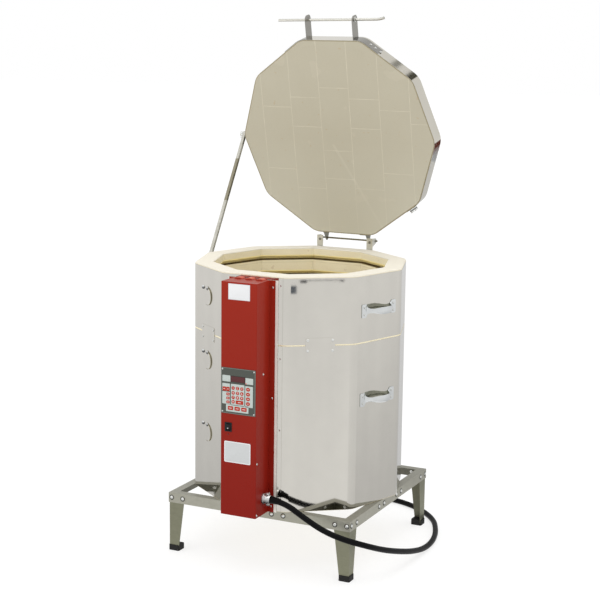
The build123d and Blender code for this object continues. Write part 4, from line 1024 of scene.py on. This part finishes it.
# Brace
# A slotted channel of galvanised sheet that turns on a bolt at the lid's corner, under a wing
# nut, and slides along a stud on the body to hold the lid open.
rub_foot, rub_top = 1.185, 1.333
arm_steel = Finish("arm_steel", {"Metallic": 0.9})
arm_height = arm_steel.where()[2]
arm_clouds = arm_steel.noise(60.0, 4.0)
arm_rub = (arm_height > rub_foot) * (arm_height < rub_top)
arm_sheet = arm_steel.between(arm_clouds, (176, 173, 160), (222, 220, 212))
arm_tone = arm_steel.between(arm_rub * 0.75, arm_sheet, (132, 124, 96))
dress(arm_steel.coat(arm_tone, 0.16 + arm_clouds * 0.12), "brace_arm")
dress(strap_zinc, "brace_bracket", "brace_guide")
dress(plated, "brace_wing_nut")

# Control box
# Folded sheet steel, sprayed with red enamel, painted darker towards the bottom as shade and
# paler on its top as painted light. It hangs on a pale back plate in front of the jacket, and
# screws through its flanges and right side hold it.
enamel = Finish("red_enamel", {"Specular IOR Level": 0.09})
enamel_height = enamel.where()[2]
enamel_peel = enamel.noise(380.0, 2.0)
enamel_tone = enamel.noise(6.0, 3.0)
enamel_upper = enamel.between(enamel_tone, (146, 38, 24), (152, 42, 27))
enamel_lower = enamel.between(enamel_tone, (126, 24, 14), (131, 27, 17))
# painted shade: the red is darker towards the bottom of the box
enamel_painted_falloff = enamel.between(enamel_height * 1.3 - 0.3, enamel_lower, enamel_upper)
# painted light: the top of the box is painted paler
enamel_top_painted_light = (enamel_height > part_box("box_cover")[1].z - 0.004) * 0.65
enamel_colour = enamel.between(enamel_top_painted_light, enamel_painted_falloff, (214, 116, 98))
dress(enamel.coat(enamel_colour, 0.24 + enamel_peel * 0.10, enamel_peel, 0.0004, 0.20), "box_cover")

dress(mottled(
    "back_plate_sheet", {"Metallic": 0.2}, (12.0, 4.0), (224, 224, 215), (238, 238, 230),
    (0.35, 0.15),
), "box_back_plate")

box_seats = seats("box_screws", Vector((-0.006, -0.30, 0.6)))
small_head = 0.0036
fasteners("box_screw_heads", plated, [
    ([seat for seat in box_seats if seat[2] > small_head], cross_angles, pan_screw),
    ([seat for seat in box_seats if seat[2] < small_head], cross_angles, pan_screw),
], "box_screws")


# Label plates
# Two thin stickers on the front of the box, left bare: a white one at the top and a pale grey
# one with a white border under the switch.
def rounded(x, z, width, height, corner, steps=4):
    """Outline of a rounded rectangle, from its middle, with this many steps round a corner."""
    outline = []
    for number, (side_x, side_z) in enumerate(((1, -1), (1, 1), (-1, 1), (-1, -1))):
        for step in range(steps + 1):
            turn = math.radians(90 * number - 90 + 90 / steps * step)
            outline.append((
                x + side_x * (width / 2 - corner) + corner * math.cos(turn),
                z + side_z * (height / 2 - corner) + corner * math.sin(turn),
            ))
    return outline


film = [(0.0, 0.0), (0.00012, 0.0), (0.00016, 0.0001)]


def relief(name, rows, base, finish, steps=film, slot="printed_panel"):
    """Low rounded reliefs on the front of the box, drawn in and brought forward in steps."""
    shell = Shell()
    for row in rows:
        middle_x, middle_z = row[:2]
        rings = []
        for forward_by, drawn_in in steps:
            ring = []
            for x, z in rounded(*row):
                share = 1 - drawn_in / math.hypot(x - middle_x, z - middle_z)
                place_x, place_z = middle_x + (x - middle_x) * share, middle_z + (z - middle_z) * share
                ring.append((place_x, base - forward_by, place_z))
            rings.append(ring)
        shell.loft(rings)
    shell.piece(name, finish, slot, crease=50)


def printed(name, low, high, roughness):
    """Printed film: an even colour with a very fine grain."""
    constants = {"Specular IOR Level": 0.15}
    return mottled(name, constants, (900.0, 2.0), low, high, (roughness, 0.1))


box_face, film_lift = -0.456, 0.0001
plate_face = box_face - film_lift
white_film = printed("white_film", (218, 219, 220), (230, 231, 232), 0.35)
grey_film = printed("grey_film", (190, 192, 192), (202, 204, 204), 0.35)
silver_film = printed("silver_film", (196, 198, 200), (216, 218, 220), 0.25)
relief("upper_label_border", [(-0.005, 0.9655, 0.080, 0.053, 0.0008)], box_face, silver_film)
relief("upper_label_plate", [(-0.005, 0.9655, 0.0765, 0.0495, 0.0006)], plate_face, white_film)
relief("lower_label_border", [(-0.009, 0.425, 0.098, 0.072, 0.004)], box_face, white_film)
relief("lower_label_plate", [(-0.009, 0.425, 0.092, 0.066, 0.003)], plate_face, grey_film)

# Controller panel
# A flat aluminium panel under a printed film, held by four screws: grey with a pale edge line
# and pale fields, on which stand the red membrane keys, their numerals and a small red lamp.
panel_face = box_face - 0.0015
panel_grey = printed("panel_grey", (72, 76, 70), (82, 86, 80), 0.42)
panel_edge = printed("panel_edge", (104, 113, 107), (122, 131, 125), 0.35)
field_pale = printed("field_pale", (176, 185, 180), (190, 199, 194), 0.40)
key_red = printed("key_red", (164, 44, 26), (178, 54, 33), 0.34)
mark_white = printed("mark_white", (236, 238, 236), (246, 246, 246), 0.40)
dress(panel_grey, "controller_panel")

edge_bars = [
    (-0.006, 0.7095, 0.126, 0.0016),
    (-0.006, 0.5575, 0.126, 0.0016),
    (-0.0685, 0.6335, 0.0016, 0.150),
    (0.0565, 0.6335, 0.0022, 0.150),
]
relief("panel_edge_lines", [(*bar, 0.0005) for bar in edge_bars], panel_face, panel_edge)
fields = [
    (-0.0501, 0.6744, 0.0300, 0.0210, 0.0012),
    (0.0349, 0.6725, 0.0290, 0.0210, 0.0012),
    (-0.0078, 0.6215, 0.0504, 0.0722, 0.0015),
    (0.0345, 0.6201, 0.0285, 0.0713, 0.0015),
    (-0.0510, 0.6448, 0.0285, 0.0255, 0.0012),
    (-0.0510, 0.6088, 0.0285, 0.0414, 0.0012),
    (-0.0092, 0.5752, 0.0836, 0.0240, 0.0012),
]
relief("panel_fields", fields, panel_face, field_pale)
frame_dark = printed("frame_dark", (52, 50, 46), (62, 60, 56), 0.4)
relief("display_frame", [(-0.007, 0.6745, 0.0560, 0.0220, 0.0008)], panel_face, frame_dark)

digit_columns = (-0.0245, -0.0083, 0.0078)
digit_rows = (0.6441, 0.6277, 0.6124)
digit_places = [(x, z) for z in digit_rows for x in digit_columns] + [(-0.0245, 0.5978)]
round_keys = [(x, z, 0.0122, 0.0122, 0.0060) for x, z in digit_places]
oval_keys = [(0.0307, z, 0.0150, 0.0120, 0.0059) for z in (0.6448, 0.6281, 0.6126, 0.5964)]
square_keys = [
    (-0.0007, 0.5972, 0.0280, 0.0125, 0.0025),
    (-0.0578, 0.6388, 0.0128, 0.0140, 0.0020),
    (-0.0442, 0.6388, 0.0128, 0.0140, 0.0020),
    (-0.0439, 0.6218, 0.0120, 0.0096, 0.0020),
    (-0.0439, 0.6082, 0.0120, 0.0088, 0.0020),
    (-0.0439, 0.5950, 0.0120, 0.0088, 0.0020),
]
square_keys += [(x, 0.5752, 0.0200, 0.0130, 0.0025) for x in (-0.0344, -0.0092, 0.0160)]
key_base = panel_face - film_lift
key_steps = [(0.0, 0.0), (0.00035, 0.0), (0.0005, 0.0003), (0.0006, 0.0008)]
relief("panel_keys", round_keys + oval_keys + square_keys, key_base, key_red, key_steps)
mark_bars = [(x, z, 0.0062, 0.0013, 0.0005) for x, z, *_ in oval_keys]
for x, z, width, *_ in square_keys:
    mark_bars.append((x, z, 0.0110 if width > 0.015 else 0.0060, 0.0014, 0.0005))
key_face = panel_face - 0.0007
relief("key_marks", mark_bars, key_face, mark_white)

digits = bmesh.new()
for number, (x, z) in enumerate(digit_places):
    text = bpy.data.curves.new("numeral", "FONT")
    text.body = str((number + 1) % 10)
    text.size = 0.0088
    text.align_x = "CENTER"
    text.align_y = "CENTER"
    text.extrude = 0.00008
    writer = bpy.data.objects.new("numeral", text)
    shape = bpy.data.meshes.new_from_object(writer)
    shape.transform(Matrix.Translation((x, key_face, z)) @ Matrix.Rotation(math.pi / 2, 4, "X"))
    digits.from_mesh(shape)
    bpy.data.objects.remove(writer)
    bpy.data.curves.remove(text)
    bpy.data.meshes.remove(shape)
digit_mesh = bpy.data.meshes.new("key_numerals")
digits.to_mesh(digit_mesh)
digits.free()
make_piece("key_numerals", digit_mesh, mark_white, "printed_panel")

lamp_red = printed("lamp_red", (226, 60, 40), (240, 84, 60), 0.2)
lamp_row = (0.0232, 0.6640, 0.0034, 0.0034, 0.0016)
relief("panel_lamp", [lamp_row], key_base, lamp_red, key_steps, "lamp_lens")

dress(mottled(
    "display_window", {"IOR": 1.5}, (120.0, 2.0), (66, 12, 16), (84, 18, 22), (0.08, 0.08),
), "display_window")
board = Finish("circuit_board", {})
tracks = board.noise(160.0, 1.0) > 0.55
board_tone = board.between(tracks, (26, 84, 44), (54, 120, 66))
dress(board.coat(board_tone, 0.35 + tracks * 0.15), "control_board")

# Switch, relays and terminals
# Moulded black plastic parts, slightly grained. The rocker is glossier, with a moulded bar at
# its upper end and a white ring at its lower end.
plastic = {"Specular IOR Level": 0.2}
moulding = mottled(
    "black_moulding", plastic, (700.0, 2.0), (22, 23, 24), (34, 35, 36), (0.42, 0.2), (0.0002, 0.2),
)
dress(moulding, "switch_housing", "power_relays", "terminal_block")
rocker_gloss = mottled(
    "rocker_gloss", plastic, (300.0, 2.0), (20, 20, 21), (28, 28, 30), (0.20, 0.12),
)
dress(rocker_gloss, "power_rocker")

rocker_tilt = math.radians(9)
rocker_middle = Vector((-0.043, -0.452, 0.5095))
rocker_out = Vector((0, -math.cos(rocker_tilt), math.sin(rocker_tilt)))
rocker_up = Vector((0, math.sin(rocker_tilt), math.cos(rocker_tilt)))


def on_rocker(x, up, out):
    """A point on the front of the rocker, which is a shallow wedge to each side of its pins."""
    edge_out, middle_out, edge_up = 0.0085, 0.0072, 0.0084
    depth = middle_out + (edge_out - middle_out) * min(abs(up) / edge_up, 1)
    return rocker_middle + Vector((x, 0, 0)) + rocker_up * up + rocker_out * (depth + out)


bar_half, bar_tall, mark_rise, mark_sheet = 0.0003, 0.0014, 0.0052, 0.00012
rocker_bar = Shell()
rocker_bar.loft([
    [on_rocker(x, mark_rise + up, out) for x, up in oblong(bar_half, bar_tall)]
    for out in (0, mark_sheet)
])
rocker_bar.piece("rocker_bar", rocker_gloss, "rocker_plastic", body="rocker", crease=40)

ring_inner, ring_outer, ring_sides = 0.0011, 0.0018, 24
ring_turns = [2 * math.pi * step / ring_sides for step in range(ring_sides)]
ring_line = [(ring_inner, 0), (ring_inner, mark_sheet), (ring_outer, mark_sheet), (ring_outer, 0)]
rocker_ring = Shell()
rocker_ring.loft([
    [on_rocker(r * math.cos(turn), r * math.sin(turn) - mark_rise, out) for turn in ring_turns]
    for r, out in ring_line
], closed=True)
rocker_ring.piece("rocker_ring", mark_white, "rocker_plastic", body="rocker", crease=40)

dress(mottled(
    "transformer_iron", {"Metallic": 0.5}, (20.0, 2.0, (1, 90, 1)), (70, 62, 54), (110, 98, 84),
    (0.45, 0.2),
), "transformer")
lamp_lens = mottled("lamp_lens", {}, (600.0, 2.0), (84, 14, 12), (120, 24, 20), (0.12, 0.1))
dress(lamp_lens, "status_lamp")

# Cord clamp
# A connector of die-cast zinc alloy, bright and slightly rough from the die: a round flange
# on the box, a barrel, and a saddle that two screws draw down on the cord. A tapered rubber
# sleeve keeps the cord from bending sharply where it comes out.
# the first two places of the cord's middle line
cord_exit = [(0.0888, -0.399, 0.262), (0.140, -0.399, 0.258)]
cord_start, cord_second = [Vector(place) for place in cord_exit]
clamp_wall = 0.060
# painted light: the casting is bright on faces turned up and nearly black on faces turned down, over a
# random tone
die_cast = mottled(
    "die_cast", {"Metallic": 0.9}, (220.0, 4.0), (44, 46, 46), (226, 227, 226), (0.12, 0.2),
    (0.0004, 0.25), (0.8, 0.8, 0.1),
)
clamp = Shell()
clamp_centre = Vector((clamp_wall, cord_start.y, cord_start.z))
clamp_axis = Vector((1, 0, 0))
clamp_profile = [
    (0.0, 0.0170),
    (0.0005, 0.0178),
    (0.0046, 0.0180),
    (0.0058, 0.0172),
    (0.0064, 0.0150),
    (0.0090, 0.0142),
    (0.0265, 0.0142),
    (0.0280, 0.0132),
    (0.0280, 0.0108),
]
clamp.turned([(clamp_centre, clamp_axis, 1, 1)], [9 * step for step in range(40)], clamp_profile)
saddle_middle = clamp_centre + clamp_axis * 0.017
saddle_height, saddle_depth, saddle_corner = 0.046, 0.0128, 0.0042
saddle_rings = []
for distance, inset in ((-0.006, 0.0024), (-0.005, 0), (0.005, 0), (0.006, 0.0024)):
    outline = rounded(0, 0, saddle_depth - inset, saddle_height - inset, saddle_corner)
    saddle_rings.append([saddle_middle + Vector((distance, *place)) for place in outline])
clamp.loft(saddle_rings)
ear_screws = [
    (saddle_middle + Vector((0, -saddle_depth / 2, rise)), Vector((0, -1, 0)), 0.0042, 0.0030)
    for rise in (-0.0175, 0.0175)
]
clamp.turned(ear_screws, cross_angles, pan_screw)
clamp.piece("cord_connector", die_cast, "cast_clamp", "cord_clamp")

sheath = mottled(
    "cord_sheath", {"Specular IOR Level": 0.07}, (60.0, 5.0), (6, 6, 7), (15, 15, 16), (0.26, 0.2),
    (0.0005, 0.2),
)
sleeve_profile = [(-0.003, 0.0106), (-0.001, 0.0134), (0.004, 0.0135)]
for step in range(1, 9):
    sleeve_profile.append((0.004 + 0.0035 * step, 0.0135 - 0.0003 * step - 0.0008 * (step % 2)))
sleeve_profile.append((0.034, 0.0102))
sleeve = Shell()
sleeve_along = (cord_second - cord_start).normalized()
sleeve_angles = [11.25 * step for step in range(32)]
sleeve.turned([(cord_start, sleeve_along, 1, 1)], sleeve_angles, sleeve_profile)
sleeve.piece("strain_relief", sheath, "cord_rubber", crease=30)

# Mains cord
# A thick rubber-sheathed cord about 1.8 m long. It leaves the clamp, drops past the front leg
# to the floor, runs round the back leg and ends behind the kiln in a moulded plug.
cord_route = cord_exit + [
    (0.206, -0.401, 0.222),
    (0.280, -0.402, 0.186),
    (0.352, -0.399, 0.166),
    (0.412, -0.357, 0.142),
    (0.440, -0.262, 0.101),
    (0.456, -0.160, 0.066),
    (0.466, -0.060, 0.036),
    (0.471, 0.038, 0.015),
    (0.468, 0.126, 0.0104),
    (0.450, 0.212, 0.0104),
    (0.420, 0.292, 0.0104),
    (0.388, 0.358, 0.0104),
    (0.336, 0.422, 0.0104),
    (0.268, 0.478, 0.0104),
    (0.186, 0.516, 0.0104),
    (0.096, 0.530, 0.0104),
    (0.004, 0.522, 0.0104),
    (-0.084, 0.500, 0.0104),
    (-0.158, 0.470, 0.014),
    (-0.222, 0.432, 0.020),
]
cord_radius = 0.010
cord = tube("mains_cord", cord_radius, 5)
cord_line = add_line(cord, "NURBS", cord_route)
cord_line.resolution_u = 8
mains_cord = make_piece("mains_cord", cord, sheath, "cord_rubber", "power_cord")

# Plug
# A moulded rubber plug with its blades at right angles to the cord: flat sides with rounded
# edges, a ribbed neck for grip, and brass blades with a round-edged earth pin.
last_bend, plug_start = [Vector((x, y, 0)) for x, y, _ in cord_route[-2:]]
plug_along = (plug_start - last_bend).normalized()
plug_aside = Vector((-plug_along.y, plug_along.x, 0))
# along the plug: half its width, half its height, and how round its corners are
plug_sections = [
    (0.0005, 0.0128, 0.0128, 1.0),
    (0.0020, 0.0142, 0.0142, 1.0),
    (0.0040, 0.0132, 0.0132, 1.0),
    (0.0060, 0.0150, 0.0146, 1.0),
    (0.0080, 0.0138, 0.0136, 1.0),
    (0.0100, 0.0158, 0.0152, 0.9),
    (0.0124, 0.0148, 0.0146, 0.9),
    (0.0160, 0.0196, 0.0176, 0.6),
    (0.0220, 0.0232, 0.0194, 0.4),
    (0.0300, 0.0240, 0.0199, 0.3),
    (0.0620, 0.0240, 0.0199, 0.3),
    (0.0700, 0.0228, 0.0194, 0.4),
    (0.0740, 0.0200, 0.0176, 0.5),
    (0.0750, 0.0170, 0.0150, 0.6),
]
plug_middle = 0.0200
plug_rings = []
for distance, half_width, half_height, round_share in plug_sections:
    corner = min(half_width, half_height) * round_share * 0.999
    middle = plug_start + plug_along * distance + Vector((0, 0, plug_middle))
    plug_rings.append([
        middle + plug_aside * aside + Vector((0, 0, rise))
        for aside, rise in rounded(0, 0, 2 * half_width, 2 * half_height, corner, 6)
    ])
plug = Shell()
plug.loft(plug_rings)
plug.piece("moulded_plug", sheath, "plug_rubber", "plug_body")

dress(mottled(
    "blade_brass", {"Metallic": 1.0}, (200.0, 3.0), (200, 176, 116), (222, 204, 150), (0.22, 0.15),
), "plug_blades")
